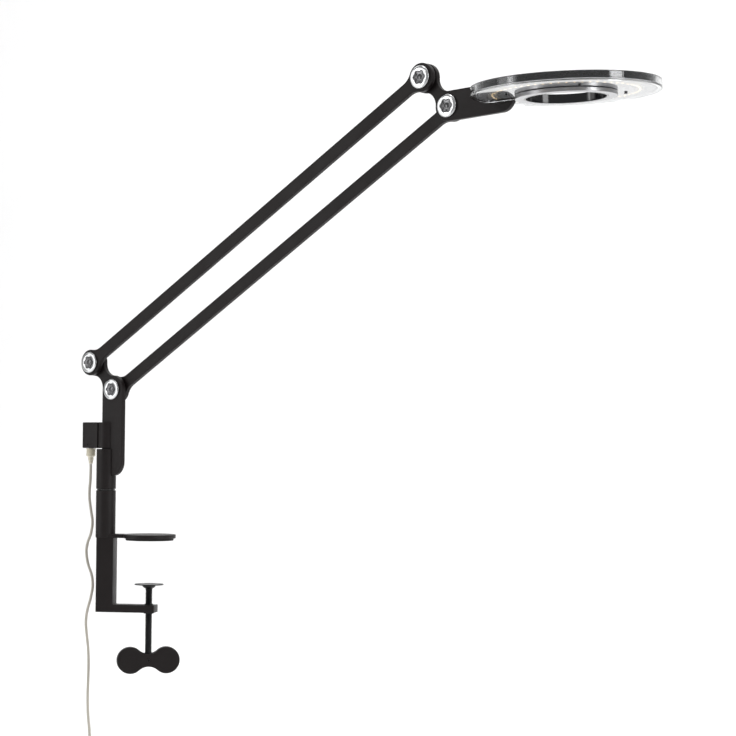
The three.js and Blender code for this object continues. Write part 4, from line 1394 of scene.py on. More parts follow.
@dataclass
class Arm:
    """Base plate, two bars, head bracket and the four pivots that join them."""

    bar_h: float = 14.5
    boss_r: float = 15.7
    flare: float = 20.0
    bracket_half: float = 16.25
    lobe_r: float = 16.0
    neck: float = 15.0
    shaft_r: float = 4.0
    hole_r: float = 6.0
    sleeve_r: float = 5.7
    head_r: float = 12.45
    head_t: float = 3.0
    star_r: float = 6.9
    star_depth: float = 1.2
    star_wave: float = 0.13
    washer_r: float = 13.6
    washer_t: float = 1.2
    nut_r: float = 8.6
    nut_t: float = 3.6
    edge: float = 0.55
    pivots: tuple = field(default=(
        (1, "base_pivot", Layer.BACK, "swivel", "lower_bar", "swivel"),
        (2, "base_upper", Layer.FRONT, "swivel", "upper_bar", "swivel"),
        (3, "head_lower", Layer.BACK, "head_bracket", "lower_bar", "lower_bar"),
        (4, "head_upper", Layer.FRONT, "head_bracket", "upper_bar", "upper_bar"),
    ))

    def bar(self, name: str, layer: Layer, pivot: Array) -> None:
        """One flat bar with its bosses drilled.

        Args:
            name: of the body and of the CAD node.
            layer: side of the plates that it lies on.
            pivot: its lower pivot in the arm's XZ plane.
        """
        front, back = layer.span()
        place = ARM.inside((pivot[0], 0, pivot[1]), turned((0, 1, 0), -LAYOUT.arm_lift))
        holes = [circle((x, 0), self.hole_r) for x in (0, LAYOUT.bar_length)]
        outline = bar_outline(LAYOUT.bar_length, self.bar_h / 2, self.boss_r, self.flare)
        shell = plate(outline, front, back, self.edge, holes)
        shaped(name + "_flat", [shell], place, name, "bar_black", name)

    def base_plate(self) -> None:
        """Base plate, tapped for the two screws that hold it in the barrel."""
        pivot = np.array(LAYOUT.base_pivot)
        end, upper = pivot - (0, LAYOUT.base_end), LAYOUT.base_upper
        outline = lobed(pivot, end, LAYOUT.base_half, upper, self.lobe_r, self.neck)
        holes = [circle(pivot, self.hole_r), circle(upper, self.hole_r)]
        x, r = LAYOUT.plate_screw_x, LAYOUT.plate_screw_hole
        holes += [circle((x, z), r, 20) for z in LAYOUT.plate_screw_z]
        shell = plate(outline, -LAYOUT.plate_half, LAYOUT.plate_half, self.edge, holes)
        shaped("base_plate_flat", [shell], ARM, "swivel", "black_coat", "base_plate")

    def bracket(self) -> None:
        """Head bracket, drilled for the two pivots and the tilt pin."""
        lower, upper, hinge = LAYOUT.head_lower, LAYOUT.head_upper, LAYOUT.hinge
        outline = lobed(lower, hinge, self.bracket_half, upper, self.lobe_r, self.neck)
        holes = [circle(lower, self.hole_r), circle(upper, self.hole_r)]
        holes.append(circle(hinge, LAYOUT.hinge_hole_r, 24))
        shell = plate(outline, -LAYOUT.plate_half, LAYOUT.plate_half, self.edge, holes)
        shaped("head_bracket_flat", [shell], ARM, "head_bracket", "bar_black", "head_bracket")

    def pivot(self, number: int, at: Array, layer: Layer, holder: str, bar: str, washer_body: str) -> None:
        """Shoulder screw with a six-lobed recess, cap nut, friction washer and sleeve of one pivot.

        Args:
            number: of the pivot.
            at: its centre in the arm's XZ plane.
            layer: of the bar that it carries.
            holder: body of the screw and nut.
            bar: body of the sleeve.
            washer_body: body of the washer.
        """
        front, back = layer.span()
        low, high = min(front, -LAYOUT.plate_half), max(back, LAYOUT.plate_half)
        place = ARM.inside((at[0], 0, at[1]))
        seat = low - LAYOUT.seat
        face, end = seat - self.head_t, high + LAYOUT.seat + self.nut_t - 1
        deep = face + self.star_depth
        corners = [(0, deep - 0.55), (1.6, deep - 0.3), (3.4, deep + 0.2), (self.star_r - 0.5, deep - 0.1),
                   (self.star_r, face + 0.4), (self.star_r + 0.8, face + 0.12), (self.star_r + 2.4, face),
                   (self.head_r - 1.2, face + 0.22), (self.head_r, face + 0.9),
                   (self.head_r, seat), (self.shaft_r, seat), (self.shaft_r, end), (0, end)]
        profile = softened(corners, 0.28)
        near_star = np.exp(-(((profile[:, 0] - self.star_r + 0.3) / 1.2) ** 2))
        waves = self.star_wave * near_star * (profile[:, 1] < seat - 0.5)
        screw = about_y(lathe(profile, 144, False, waves))
        made = shaped(f"shoulder_screw_{number}", [screw], place, holder, "chrome",
                      f"pivot_screw_{number}", extra=[self.recess])
        # Faces deep in the six-lobed recess take the darker metal: painted shade in the hollow.
        corners_of = (screw.points[f] for f in screw.faces)
        sunk = [bool(p[:, 1].min() > face + 0.2 and p[:, 1].max() < seat - 0.5
                     and np.hypot(*p[:, ::2].T).max() < self.star_r + 1.6) for p in corners_of]
        made.data.polygons.foreach_set("material_index", np.array(sunk, np.int32))
        bore, nut_seat = self.shaft_r + LAYOUT.seat, high + LAYOUT.seat
        blind, shoulder = nut_seat + self.nut_t - 0.7, nut_seat + self.nut_t - 0.1
        dome = softened([(bore, nut_seat), (self.nut_r, nut_seat), (self.nut_r, nut_seat + 2.2),
                         (self.nut_r - 1.4, shoulder), (0, nut_seat + self.nut_t + 0.4)], 0.5)
        inner = np.array([(0, blind), (bore, blind), (bore, nut_seat)])
        nut = about_y(lathe(np.vstack([inner, dome[1:]]), 96))
        shaped(f"cap_nut_{number}", [nut], place, holder, "chrome", f"pivot_nut_{number}")
        gap = (back if layer is Layer.FRONT else LAYOUT.plate_half) + LAYOUT.seat
        washer = about_y(washer_ring(bore, self.washer_r, gap, gap + self.washer_t, 0.2, 72))
        shaped(f"friction_washer_{number}", [washer], place, washer_body, "nylon", f"pivot_washer_{number}")
        sleeve = about_y(washer_ring(bore, self.sleeve_r, front, back, 0.2, 48))
        shaped(f"insulating_sleeve_{number}", [sleeve], place, bar, "nylon", f"pivot_sleeve_{number}")

    def build(self) -> None:
        """Makes every piece of the arm."""
        # Metal darkened as painted shade for the screws' recesses.
        self.recess = RECESS_SHADE.make()
        self.base_plate()
        self.bar("lower_bar", Layer.BACK, np.array(LAYOUT.base_pivot))
        self.bar("upper_bar", Layer.FRONT, LAYOUT.base_upper)
        self.bracket()
        for number, where, layer, holder, bar, washer_body in self.pivots:
            self.pivot(number, np.array(getattr(LAYOUT, where)), layer, holder, bar, washer_body)


# ---------------------------------------------------------------- swivel and power block
@dataclass
class Swivel:
    """Barrel on the post, and the power block that the lead plugs into."""

    barrel_h: float = 49.5
    barrel_low: float = 0.8
    slot_half: float = 3.4
    screw_seat: float = 9.0
    left: float = -34.0
    right: float = -8.0
    half: float = 8.0
    bottom: float = 50.4
    top: float = 82.0
    cover_t: float = 1.5
    collar_r: float = 10.0
    jack_x: float = -26.9
    plug_r: float = 5.9
    plug_length: float = 19.0
    slot_sharp: float = 0.02
    pin_room_r: float = 8.9
    pin_room: tuple = (-5.0, 15.3)
    head_room_r: float = 3.7
    lid_screw_x: float = -17.0
    lid_inset: float = 1.75
    lid_hole_r: float = 1.3
    jack_hole_r: float = 3.8

    def slot(self, low: float, high: float) -> Shell:
        """Cutter for the base plate's slot.

        Args:
            low: foot of the cutter.
            high: top of the cutter.

        Returns:
            The shell.
        """
        x = LAYOUT.base_pivot[0] - LAYOUT.base_half - LAYOUT.seat
        return block((x, 40), (-self.slot_half, self.slot_half), (low, high), self.slot_sharp)

    @property
    def lid_heights(self) -> tuple[float, float]:
        """Heights of the cover's two screws."""
        return self.bottom + self.lid_inset, self.top - self.lid_inset

    def barrel(self) -> None:
        """Barrel slotted for the base plate and counterbored for its two screws."""
        body = rod(LAYOUT.post_r, self.barrel_low, self.barrel_h, 128, 0.9)
        pivot, r = LAYOUT.base_pivot, LAYOUT.base_half + LAYOUT.seat
        end = np.array([pivot[0], pivot[1] - LAYOUT.base_end])
        far = end + (0, 80)
        outline = np.vstack([arc(end, r, math.pi, 2 * math.pi, 40), arc(far, r, 0, math.pi, 8)])
        slot = plate(outline, -self.slot_half, self.slot_half, self.slot_sharp)
        pin = rod(self.pin_room_r, *self.pin_room)
        holes, x = [], LAYOUT.plate_screw_x
        for z in LAYOUT.plate_screw_z:
            for radius, start in ((LAYOUT.plate_screw_hole, 0.0), (self.head_room_r, self.screw_seat)):
                holes.append(about_y(rod(radius, start, 20, 40)).moved((x, 0, z)))
        mesh = carved("barrel_sleeve", body, ARM, (), [pin, slot, *holes])
        piece("barrel_sleeve", mesh, "swivel", "black_coat", "swivel_barrel")
        seat = self.screw_seat + LAYOUT.seat
        for number, z in enumerate(LAYOUT.plate_screw_z, 1):
            names = f"plate_screw_{number}", f"barrel_screw_{number}"
            self.cap_screw(names, (x, z), (-1.4, seat), 2.0, 3.4, 1.8)

    def cap_screw(self, names: tuple, at: tuple, span: tuple, r: float, head: float, head_t: float) -> None:
        """Small screw along Y with a hexagonal recess in its head.

        Args:
            names: of the piece and of its CAD node.
            at: x and z of its axis.
            span: y of its tip and of the seat under its head.
            r: radius of the shank.
            head: radius of the head.
            head_t: thickness of the head.
        """
        (name, node), (tip, seat) = names, span
        top = seat + head_t
        corners = [(0, tip), (r, tip), (r, seat), (head, seat), (head, top), (0.62 * head, top),
                   (0.5 * head, top - 0.25), (0.5 * head, top - 0.55 * head_t), (0, top - 0.6 * head_t)]
        profile = softened(corners, 0.15, steps=3)
        waves = np.where((profile[:, 1] > seat + 0.2) & (profile[:, 0] < 0.58 * head), 0.09, 0.0)
        shell = about_y(lathe(profile, 72, False, waves)).moved((at[0], 0, at[1]))
        shaped(name, [shell], ARM, "swivel", "black_oxide", node)

    def housing(self) -> None:
        """Power block: rounded housing with a sunk front panel and vent, web and collar."""
        front = self.half - self.cover_t - LAYOUT.seat
        body = block((self.left, self.right), (-self.half, front), (self.bottom, self.top), 0.7, 1.0)
        collar = rod(self.collar_r, self.bottom, self.top, 96, 0.5)
        web = block((self.right - 4, 0), (-self.half + 1.2, front - 1.2),
                    (self.bottom + 0.01, self.top - 0.01), 0.3)
        cavity = block((self.left + 1.8, self.right - 1.8), (-self.half + 1.8, 20),
                       (self.bottom + 3.5, self.top - 3.5), 0.3)
        panel = block((self.left + 2.2, self.right - 2.6), (-self.half - 5, -self.half + 0.35),
                      (self.bottom + 2.6, self.top - 2.2), 0.12, 1.2)
        vent = block((-26, -18), (-self.half - 5, -self.half + 1.1),
                     (self.bottom + 4.0, self.bottom + 5.3), 0.05, 0.6)
        jack = rod(self.jack_hole_r, 40, 56, 48).moved((self.jack_x, 0, 0))
        hole = about_y(rod(self.lid_hole_r, 0, 20, 24))
        holes = [hole.moved((self.lid_screw_x, 0, z)) for z in self.lid_heights]
        cuts = [self.slot(30, 100), cavity, panel, vent, jack, *holes]
        mesh = carved("power_block", body, ARM, [web, collar], cuts)
        piece("power_block", mesh, "swivel", "black_coat", "power_housing")

    def cover(self) -> None:
        """Flat cover on the back of the block with its two screws."""
        outline = box_outline(self.left, self.bottom, self.right, self.top, 1.0)
        holes = [circle((self.lid_screw_x, z), self.lid_hole_r, 20) for z in self.lid_heights]
        shell = plate(outline, self.half - self.cover_t, self.half, 0.4, holes)
        shaped("power_lid", [shell], ARM, "swivel", "black_coat", "power_cover")
        for number, z in enumerate(self.lid_heights, 1):
            names = f"lid_screw_{number}", f"cover_screw_{number}"
            self.cap_screw(names, (self.lid_screw_x, z), (0.5, self.half + LAYOUT.seat), 1.0, 1.9, 0.9)

    def plug(self) -> bpy.types.Object:
        """Vinyl plug: ribbed grip, waisted neck and a tail that tapers to the lead, with its sleeve turned in
        the same piece.

        Returns:
            The plug.
        """
        top = self.bottom - LAYOUT.seat
        low = top - self.plug_length
        r = self.plug_r
        ribs = []
        for k in range(5):
            z = top - 1.4 - 1.6 * k
            ribs += [(r, z), (r - 0.55, z - 0.35), (r - 0.55, z - 0.85), (r, z - 1.2)]
        grip = [(0, top + 1), (1.35, top + 1), (1.35, top + 8.6), (2.75, top + 8.6), (2.75, top), (r, top),
                *ribs, (r - 0.4, low + 9.7), (3.7, low + 8.4), (3.3, low + 7.4), (3.3, low + 4.6),
                (2.6, low + 3.6), (2.5, low + 0.2), (0, low)]
        shell = lathe(softened(grip, 0.3, steps=3), 64).moved((self.jack_x, 0, 0))
        return shaped("lead_plug", [shell], ARM, "swivel", "plug_ivory", "dc_plug")

    def build(self) -> bpy.types.Object:
        """Makes every piece and returns the plug.

        Returns:
            The plug.
        """
        self.barrel()
        self.housing()
        self.cover()
        return self.plug()


# ---------------------------------------------------------------- lead
@dataclass
class Cord:
    """The low-voltage lead: hanging stretch, wound coil with its tie, tail and wall adapter."""

    diameter: float = 3.4
    length: float = 1.9
    centre: tuple = (-27.0, 0.0, -340.0)
    first_r: float = 14.0
    entry_turn: float = 0.36
    tail_bend: float = 20.0
    rows: int = 4
    columns: int = 3
    foot: float = -390.3
    anchored: float = 20.0
    adapter: tuple = (42.0, 27.0, 62.0)
    relief: float = 14.0
    relief_r: float = 4.2
    blade: tuple = (17.0, 6.3, 1.5)
    blade_x: float = 6.35
    blade_drop: float = 26.0
    route: tuple = (
        (-26.9, 0, 30.8), (-26.9, 0, 22), (-27.6, 0.4, 11), (-29.2, 0.8, 0), (-29, 0.8, -12),
        (-25.4, 0.2, -27), (-22, -0.6, -40), (-24.2, -0.8, -54), (-30.4, -0.2, -66),
        (-33.2, 0.6, -77), (-30.6, 1, -91), (-23.4, 0.6, -105), (-20.6, -0.2, -117),
        (-23, -0.8, -132), (-29.2, -0.6, -149), (-31.8, 0, -163), (-30.6, 0.5, -178),
        (-28, 0.6, -194), (-26.6, 0.3, -212), (-26.6, 0, -232), (-25.9, -1.1, -252),
        (-21.8, -4.2, -273), (-16.2, -7, -293), (-13.5, -8.1, -312), (-13, -8.23, -326),
    )

    def coil(self) -> Array:
        """Points of the wound turns.

        The angle runs down the right side. Each row is a helix of one diameter a turn that crosses
        the bundle one way or back; over the last third of its last turn it stays at that side and
        eases outwards by one diameter, to the next row.

        Returns:
            Array (n, 3).
        """
        turns, rise, d = self.rows * self.columns, 1 / 3, self.diameter
        angle = np.arange(turns * 40 + 1) / 40
        row = np.minimum((angle / self.columns).astype(int), self.rows - 1)
        along = angle - row * self.columns
        width = self.columns - rise
        y = np.where(row % 2 == 0, 1, -1) * (np.minimum(along, width) - width / 2) * d
        t = np.clip((along - width) / rise, 0, 1) * (row < self.rows - 1)
        r = self.first_r + (row + t * t * (3 - 2 * t)) * d
        t = np.clip(angle / self.entry_turn, 0, 1)
        y = y - (1 - t * t * (3 - 2 * t)) * (d + 0.3)
        a = -2 * math.pi * angle
        x0, y0, z0 = self.centre
        return np.stack([x0 + r * np.cos(a), y0 + y, z0 + r * np.sin(a)], -1)

    def tail(self, start: Array) -> Array:
        """From the last turn down to the adapter: two equal arcs under the coil between straights.

        Args:
            start: last point of the coil.

        Returns:
            Array (n, 3).
        """
        x0, _, z0 = self.centre
        across, r = start[0] - x0, self.tail_bend
        swing = math.acos(1 - across / (2 * r))
        a = np.linspace(0, swing, 18)
        side, down = r * (1 - np.cos(a)), r * np.sin(a)
        side = np.concatenate([side, across - side[-2::-1]])
        down = np.concatenate([down, 2 * down[-1] - down[-2::-1]])
        first = z0 - self.foot - down[-1] - 3
        share = down / down[-1]
        y = start[1] * (1 - share * share * (3 - 2 * share))
        swung = np.stack([start[0] - side, y, z0 - first - down], -1)
        lead = np.stack([start + (0, 0, -h) for h in np.linspace(2, first - 1.5, 5)])
        end = np.array([(x0, 0, z) for z in np.linspace(self.foot + 1, self.foot - self.anchored, 8)])
        return np.vstack([lead, swung, end])

    def path(self) -> Array:
        """The whole centreline, from the plug's tail into the adapter's strain relief.

        Returns:
            Array (n, 3), in the arm's millimetres.
        """
        wound = self.coil()
        way_in = smooth_curve([*self.route, wound[0], wound[2]])
        way_in = way_in[way_in[:, 2] > wound[0][2] + 0.6]
        return np.vstack([way_in, wound, self.tail(wound[-1])])

    def tie(self) -> bpy.types.Object:
        """Soft strap closed round the bundle of turns at its left side.

        Returns:
            The strap.
        """
        x0, _, z0 = self.centre
        middle = self.first_r + (self.rows - 1) / 2 * self.diameter
        reach, half = (self.rows / 2) * self.diameter, (self.columns / 2 + 1 / 6) * self.diameter
        reach, half, wall = reach + 0.2, half + 0.2, 0.9
        outer = box_outline(-reach - wall, -half - wall, reach + wall, half + wall, 2.4, 8)
        inner = box_outline(-reach, -half, reach, half, 1.6, 8)
        band = upright(plate(outer, -4, 4, 0.3, [inner]))
        strap = band.moved((x0 - middle, 0, z0))
        return shaped("lead_tie", [strap], ARM, "swivel", "adapter_plastic")

    def wall_adapter(self) -> bpy.types.Object:
        """Moulded adapter with a parting groove, ribbed strain relief and two contact blades.

        Returns:
            The adapter's body.
        """
        w, d, h = self.adapter
        top = self.foot - LAYOUT.seat - self.relief
        body = upright(plate(box_outline(-w / 2, -d / 2, w / 2, d / 2, 3, 8), top - h, top, 1.6, steps=4))
        seam = upright(plate(box_outline(-w, -d, w, d, 3), top - 0.44 * h - 0.5, top - 0.44 * h, 0.02,
                             [box_outline(0.4 - w / 2, 0.4 - d / 2, w / 2 - 0.4, d / 2 - 0.4, 2.7, 8)]))
        collars = []
        for k in range(5):
            z, r = top + 2.2 + 2.1 * k, self.relief_r - 0.3 * k
            collars += [(r, z), (r, z + 1.2), (r - 0.75, z + 1.35), (r - 0.75, z + 1.95)]
        mouth = self.foot - LAYOUT.seat
        boot = lathe(softened([(0, top - 2), (self.relief_r, top - 2), *collars, (self.mouth_r, mouth),
                               (0, mouth)], 0.2), 48)
        level, half_w, half_t = top - self.blade_drop, self.blade[1] / 2, self.blade[2] / 2
        blades = [block((x - half_t, x + half_t), (d / 2 - 3, d / 2 + self.blade[0]),
                        (level - half_w, level + half_w), 0.3) for x in (-self.blade_x, self.blade_x)]
        place = ARM.inside((self.centre[0], 0, 0))
        mesh = carved("adapter_body", body, place, [boot], [seam])
        made = piece("adapter_body", mesh, "swivel", "adapter_plastic", "wall_adapter")
        shaped("adapter_blades", blades, place, "swivel", "steel")
        return made

    @property
    def mouth_r(self) -> float:
        """Radius of the strain relief where the lead enters it."""
        return self.diameter / 2 + 0.8

    def build(self, plug: bpy.types.Object) -> None:
        """Args:
            plug: piece that the lead leaves from; not used.
        """
        path = self.path()
        shell = tube(path, self.diameter / 2)
        stood_for = ("cord_tube", "cord_coil", "cord_tail")
        lead = shaped("lead", [shell], ARM, "swivel", "cord_grey", *stood_for)
        tie, adapter = self.tie(), self.wall_adapter()
        centreline = ARM.row(path)
        log.info("lead length %.3f m", float(np.linalg.norm(np.diff(centreline, axis=0), axis=1).sum()))


# ---------------------------------------------------------------- head
@dataclass
class Head:
    """Ring head: clear rim and lens, black housing, reflectors, light chips, hub and hinge."""

    ring_r: float = 98.7
    ring_t: float = 9.9
    rim_wall: float = 5.9
    lens_t: float = 1.8
    housing_t: float = 6.7
    hole_r: float = 41.7
    hole_wall: float = 1.5
    hub_r: float = 53.0
    hub_drop: float = 4.6
    dish_z: float = 0.1
    led_r: float = 76.0
    led_band: float = 9.4
    tray_t: float = 0.8
    slot_half: float = 4.4
    slot_end: float = 17.55
    block_w: float = 8.4
    block_d: float = 9.0
    screw_ring: float = 63.0
    chips: int = 60
    chip: tuple = (2.8, 3.5, 0.62)
    steps: int = 192
    hinge_arc: float = 13.0
    window_r: float = 1.35
    frame_t: float = 0.2
    board_t: float = 0.25
    dimmer_turn: float = 3.0
    pin_r: float = 2.0
    pin_hole_r: float = 2.3
    spacer_r: float = 5.2
    spacer_half: float = 0.35

    def __post_init__(self) -> None:
        """Works out the heights from the ring's mid plane."""
        self.low = -self.ring_t / 2
        self.high = self.ring_t / 2
        self.lens_top = self.low + self.lens_t
        self.hub_low = self.low - self.hub_drop
        self.tray_low = self.lens_top + LAYOUT.seat
        self.tray_high = self.tray_low + self.tray_t
        self.housing_r = self.ring_r - self.rim_wall - LAYOUT.seat
        self.housing_low = self.high - self.housing_t
        self.skirt = self.hole_r + self.hole_wall

    def slot(self, grow: float = 0.0) -> Shell:
        """Cutter for the bracket's slot, in the ring's frame.

        Args:
            grow: added to each side.

        Returns:
            The shell.
        """
        half = self.slot_half + grow
        x = (-self.ring_r - LAYOUT.ring_offset, self.slot_end + grow - LAYOUT.ring_offset)
        return block(x, (-half, half), (self.hub_low - 5, self.high + 5), 0.02, 0.4)

    def ring(
        self, name: str, corners: Sequence, soft: float, slot: str, node: str, cut: Sequence[Shell] = ()
    ) -> None:
        """A turned ring of the head, with cuts.

        Args:
            name: of the piece.
            corners: its section (r, h).
            soft: rounding of the corners.
            slot: of the record that it takes its finish from.
            node: CAD node that it replaces.
            cut: shells taken away.
        """
        shell = lathe(softened(corners, soft, True, 4), self.steps, True)
        mesh = carved(name, shell, RING, (), cut) if cut else new_mesh(name, [shell], RING)
        piece(name, mesh, "head", slot, node)

    def shells(self) -> None:
        """Clear rim with its lens, and the black dished housing over it."""
        inner, lip = self.ring_r - self.rim_wall, self.skirt + LAYOUT.seat
        self.ring("clear_rim", [
            (lip, self.low), (self.ring_r, self.low), (self.ring_r, self.high), (inner, self.high),
            (inner, self.lens_top), (lip, self.lens_top)], 0.9, "clear_acrylic", "head_rim", [self.slot()])
        half = self.slot_half + self.block_d + LAYOUT.seat
        x = -LAYOUT.ring_offset
        sides = (x - self.block_w / 2 - LAYOUT.seat, x + self.block_w / 2 + LAYOUT.seat)
        pocket = block(sides, (-half, half), (self.lens_top, self.high - 1.0), 0.05)
        self.ring("black_housing", [
            (self.hole_r, self.hub_low), (self.skirt, self.hub_low), (self.skirt, self.housing_low),
            (self.housing_r, self.housing_low), (self.housing_r, self.high), (self.housing_r - 8, self.high),
            (self.hub_r, self.dish_z + 0.4), (self.hole_r, self.dish_z)], 0.45, "head_black", "head_housing",
            [self.slot(), pocket])

    def trays(self) -> None:
        """White reflectors and the ring board with its light chips."""
        wide = self.slot(self.block_d + LAYOUT.seat)
        inner_edge, outer_edge = self.led_r - self.led_band / 2, self.led_r + self.led_band / 2
        low, high = self.tray_low, self.tray_high
        a, b = self.hub_r + LAYOUT.seat, inner_edge - LAYOUT.seat
        self.ring("inner_reflector", [(a, low), (b, low + 0.25), (b, high), (a, high)], 0.15,
                  "reflector_white", "reflector_inner", [wide])
        a, b = outer_edge + LAYOUT.seat, self.housing_r
        self.ring("outer_reflector", [(a, low + 0.25), (b, low), (b, high), (a, high)], 0.15,
                  "reflector_white", "reflector_outer", [wide])
        board = section(inner_edge, outer_edge, high - self.board_t, high)
        self.ring("ring_board", board, 0.05, "circuit_board", "led_board", [wide])
        self.light_chips(high - self.board_t)

    def light_chips(self, under: float) -> None:
        """Chips all round the board but where the hinge is: a white frame and a domed window each.

        Args:
            under: height of the board's lower face.
        """
        w, l, h = self.chip
        body = block((-w / 2, w / 2), (-l / 2, l / 2), (under - self.frame_t, under), 0.05, 0.2)
        bend = np.linspace(0, math.pi / 2, 5)
        dome = np.stack([self.window_r * np.sin(bend), under - h * np.cos(bend)], -1)
        window = lathe(np.vstack([dome[:-1], [(self.window_r, under - 0.1), (0, under - 0.1)]]), 12)
        frames, windows = [], []
        for k in range(self.chips):
            angle = (k + 0.5) * 360 / self.chips
            if abs(angle - 180) < self.hinge_arc:
                continue
            turn = turned((0, 0, 1), angle)
            shift = turn @ np.array([self.led_r, 0, 0])
            frames.append(body.moved(shift, turn))
            windows.append(window.moved(shift, turn))
        shaped("chip_frames", frames, RING, "head", "circuit_board")
        made = shaped("chip_windows", windows, RING, "head", "circuit_board")
        made.data.materials.clear()
        made.data.materials.append(PHOSPHOR.make())

    def hub(self) -> None:
        """Turned hub ring, its four screws and the dimmer module beside it."""
        inner = self.skirt + LAYOUT.seat
        band = section(inner, self.hub_r, self.hub_low, self.low - LAYOUT.seat)
        self.ring("hub_band", band, 0.5, "satin_aluminium", "hub_ring")
        seat = self.low - LAYOUT.seat
        corners = [(0, seat - 0.45), (0.7, seat - 0.4), (0.8, seat - 0.9), (1.9, seat - 0.9), (1.9, seat),
                   (1.0, seat), (1.0, self.housing_low + 0.8), (0, self.housing_low + 0.8)]
        for number in range(4):
            angle = math.radians(45 + 90 * number)
            at = (self.screw_ring * math.cos(angle), self.screw_ring * math.sin(angle), 0)
            screw = lathe(softened(corners, 0.15, steps=3), 40).moved(at)
            shaped(f"lens_screw_{number + 1}", [screw], RING, "head", "black_oxide",
                   f"hub_screw_{number + 1}")
        turn = turned((0, 0, 1), self.dimmer_turn)
        board = block((57.5, 66.5), (-5.5, 5.5), (self.tray_low + 0.3, self.tray_low + 0.9), 0.1)
        heights = (self.tray_low, self.tray_low + 0.35)
        parts = [board, *(block((59 + 2.6 * i, 60.4 + 2.6 * i), (-4 + 3 * j, -2.4 + 3 * j), heights, 0.05)
                          for i in range(3) for j in range(3))]
        parts = [part.moved((0, 0, 0), turn) for part in parts]
        shaped("dimmer_board", parts, RING, "head", "dimmer", "dimmer_module")

    def hinge(self) -> None:
        """Knuckles, pin and washers of the tilt hinge."""
        top = self.high - 1.3
        near, far = self.slot_half + LAYOUT.seat, self.slot_half + self.block_d
        for label, side in (("front", -1), ("back", 1)):
            y = sorted((side * near, side * far))
            outline = box_outline(-self.block_w / 2, self.lens_top + LAYOUT.seat, self.block_w / 2, top, 0.8)
            knuckle = plate(outline, y[0], y[1], 0.4, [circle((0, 0), self.pin_hole_r, 32)])
            shaped(f"knuckle_{label}", [knuckle], HEAD, "head", "satin_aluminium", f"hinge_block_{label}")
            middle = side * (LAYOUT.plate_half + 0.65)
            low, high = middle - self.spacer_half, middle + self.spacer_half
            ring = about_y(washer_ring(self.pin_hole_r, self.spacer_r, low, high, 0.12, 48))
            shaped(f"hinge_ring_{label}", [ring], HEAD, "head", "nylon", f"hinge_washer_{label}")
        end = far - 0.4
        pin = about_y(rod(self.pin_r, -end, end, 40, 0.35))
        shaped("tilt_pin", [pin], HEAD, "head", "steel", "hinge_pin")

    def build(self) -> None:
        """Makes every piece of the head."""
        self.shells()
        self.trays()
        self.hub()
        self.hinge()


# ---------------------------------------------------------------- studio
# Each soft light: its name, its place and aim in metres, its width and height, and its power in watts.
SOFT_LIGHTS = (
    ("left", (-2.6, -1.3, 0.5), (0.1, -0.1, 0.2), (1.5, 2.0), 8.5),
    ("strip", (-2.3, -1.5, 0.5), (0.45, -0.4, 0.5), (0.3, 1.6), 4.5),
    ("right", (2.6, -1.3, 0.8), (0.3, -0.1, 0.3), (0.7, 1.8), 18),
    ("top", (0.3, -0.6, 2.4), (0.3, -0.1, 0.3), (2.0, 1.3), 17),
    ("backdrop", (0.3, 2.2, 3.6), (0.3, 6.0, 0.8), (9.0, 3.0), 215),
    ("floor", (0.3, 2.0, 3.4), (0.3, 1.6, -0.4), (8.0, 4.0), 85),
)


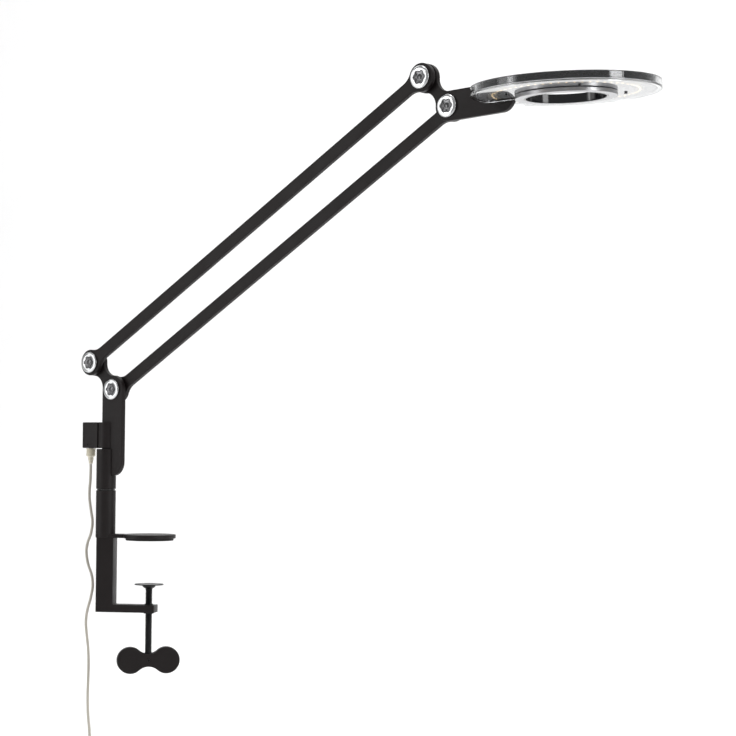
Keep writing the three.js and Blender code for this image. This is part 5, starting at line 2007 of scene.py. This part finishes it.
@dataclass
class Studio:
    """Pale sweep, soft lights and the camera."""

    eye: tuple = (621.52, -2474.19, 119.31)
    azimuth: float = 8.171
    pitch: float = 2.08
    roll: float = 0.468
    focal: float = 2084.5
    image: int = 736
    sensor: float = 36.0
    floor_z: float = -0.44
    ambient: float = 0.32

    def camera(self) -> None:
        """Camera whose long lens matches the focal length given in image widths."""
        a, p, r = (math.radians(v) for v in (self.azimuth, self.pitch, self.roll))
        look = np.array([-math.sin(a) * math.cos(p), math.cos(a) * math.cos(p), math.sin(p)])
        right = np.array([math.cos(a), math.sin(a), 0.0])
        up = np.cross(right, look)
        x = math.cos(r) * right + math.sin(r) * up
        y = -math.sin(r) * right + math.cos(r) * up
        data = bpy.data.cameras.new("camera")
        data.sensor_width = self.sensor
        data.lens = self.focal / self.image * self.sensor
        data.clip_end = 50
        made = bpy.data.objects.new("camera", data)
        bpy.context.scene.collection.objects.link(made)
        turn = Matrix(np.stack([x, y, -look], -1).tolist()).to_4x4()
        made.matrix_world = Matrix.Translation(Vector(self.eye) / 1000) @ turn
        bpy.context.scene.camera = made

    def sweep(self) -> None:
        """Floor that curves up into a wall: flat, a quarter circle, then upright."""
        r, back, front = 2.0, 4.5, -6.0
        bend = np.linspace(0, math.pi / 2, 24)
        y = np.concatenate([[front], back + r * np.sin(bend), [back + r]])
        z = np.concatenate([[0], r * (1 - np.cos(bend)), [7.0]]) + self.floor_z
        x = np.array([-12.0, 12.0])
        across = np.repeat(x[None], len(y), 0)
        points = np.stack([across, np.repeat(y[:, None], 2, 1), np.repeat(z[:, None], 2, 1)], -1)
        faces = [[2 * k, 2 * k + 1, 2 * k + 3, 2 * k + 2] for k in range(len(y) - 1)]
        mesh = bpy.data.meshes.new("sweep")
        mesh.from_pydata(points.reshape(-1, 3).tolist(), [], faces)
        mesh.shade_smooth()
        made = bpy.data.objects.new("sweep", mesh)
        bpy.context.scene.collection.objects.link(made)
        paper = Shader("pale_paper")
        cloud = paper.noise(paper.where(), 3, 3)
        paper.dress(Base_Color=paper.blend(cloud, (0.9, 0.9, 0.9), (0.92, 0.92, 0.92)), Roughness=0.9)
        mesh.materials.append(paper.material)

    def light(self, name: str, at: tuple, aim: tuple, size: tuple, power: float) -> None:
        """Rectangular soft light.

        Args:
            name: of the light.
            at: its place in metres.
            aim: point that it faces.
            size: its width and height in metres.
            power: in watts.
        """
        data = bpy.data.lights.new(name, "AREA")
        data.shape, data.energy = "RECTANGLE", power
        data.size, data.size_y = size
        made = bpy.data.objects.new(name, data)
        bpy.context.scene.collection.objects.link(made)
        made.location = at
        made.rotation_mode = "QUATERNION"
        made.rotation_quaternion = (Vector(aim) - Vector(at)).to_track_quat("-Z", "Y")

    def build(self) -> None:
        """Makes the camera, the sweep and the lights."""
        self.camera()
        self.sweep()
        world = bpy.data.worlds.new("studio")
        world.use_nodes = True
        background = world.node_tree.nodes["Background"].inputs
        background["Color"].default_value = (1, 1, 1, 1)
        background["Strength"].default_value = self.ambient
        bpy.context.scene.world = world
        bpy.context.scene.view_settings.view_transform = "Standard"
        for light in SOFT_LIGHTS:
            self.light(*light)


def main() -> None:
    """Builds the studio, the lead and every sub-assembly."""
    logging.basicConfig(level=logging.INFO, format="%(name)s %(message)s")
    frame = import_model()
    WARDROBE.cad(frame)
    Studio().build()
    plug = Swivel().build()
    Cord().build(plug)
    Clamp().build()
    Arm().build()
    Head().build()


if __name__ == "__main__":
    main()
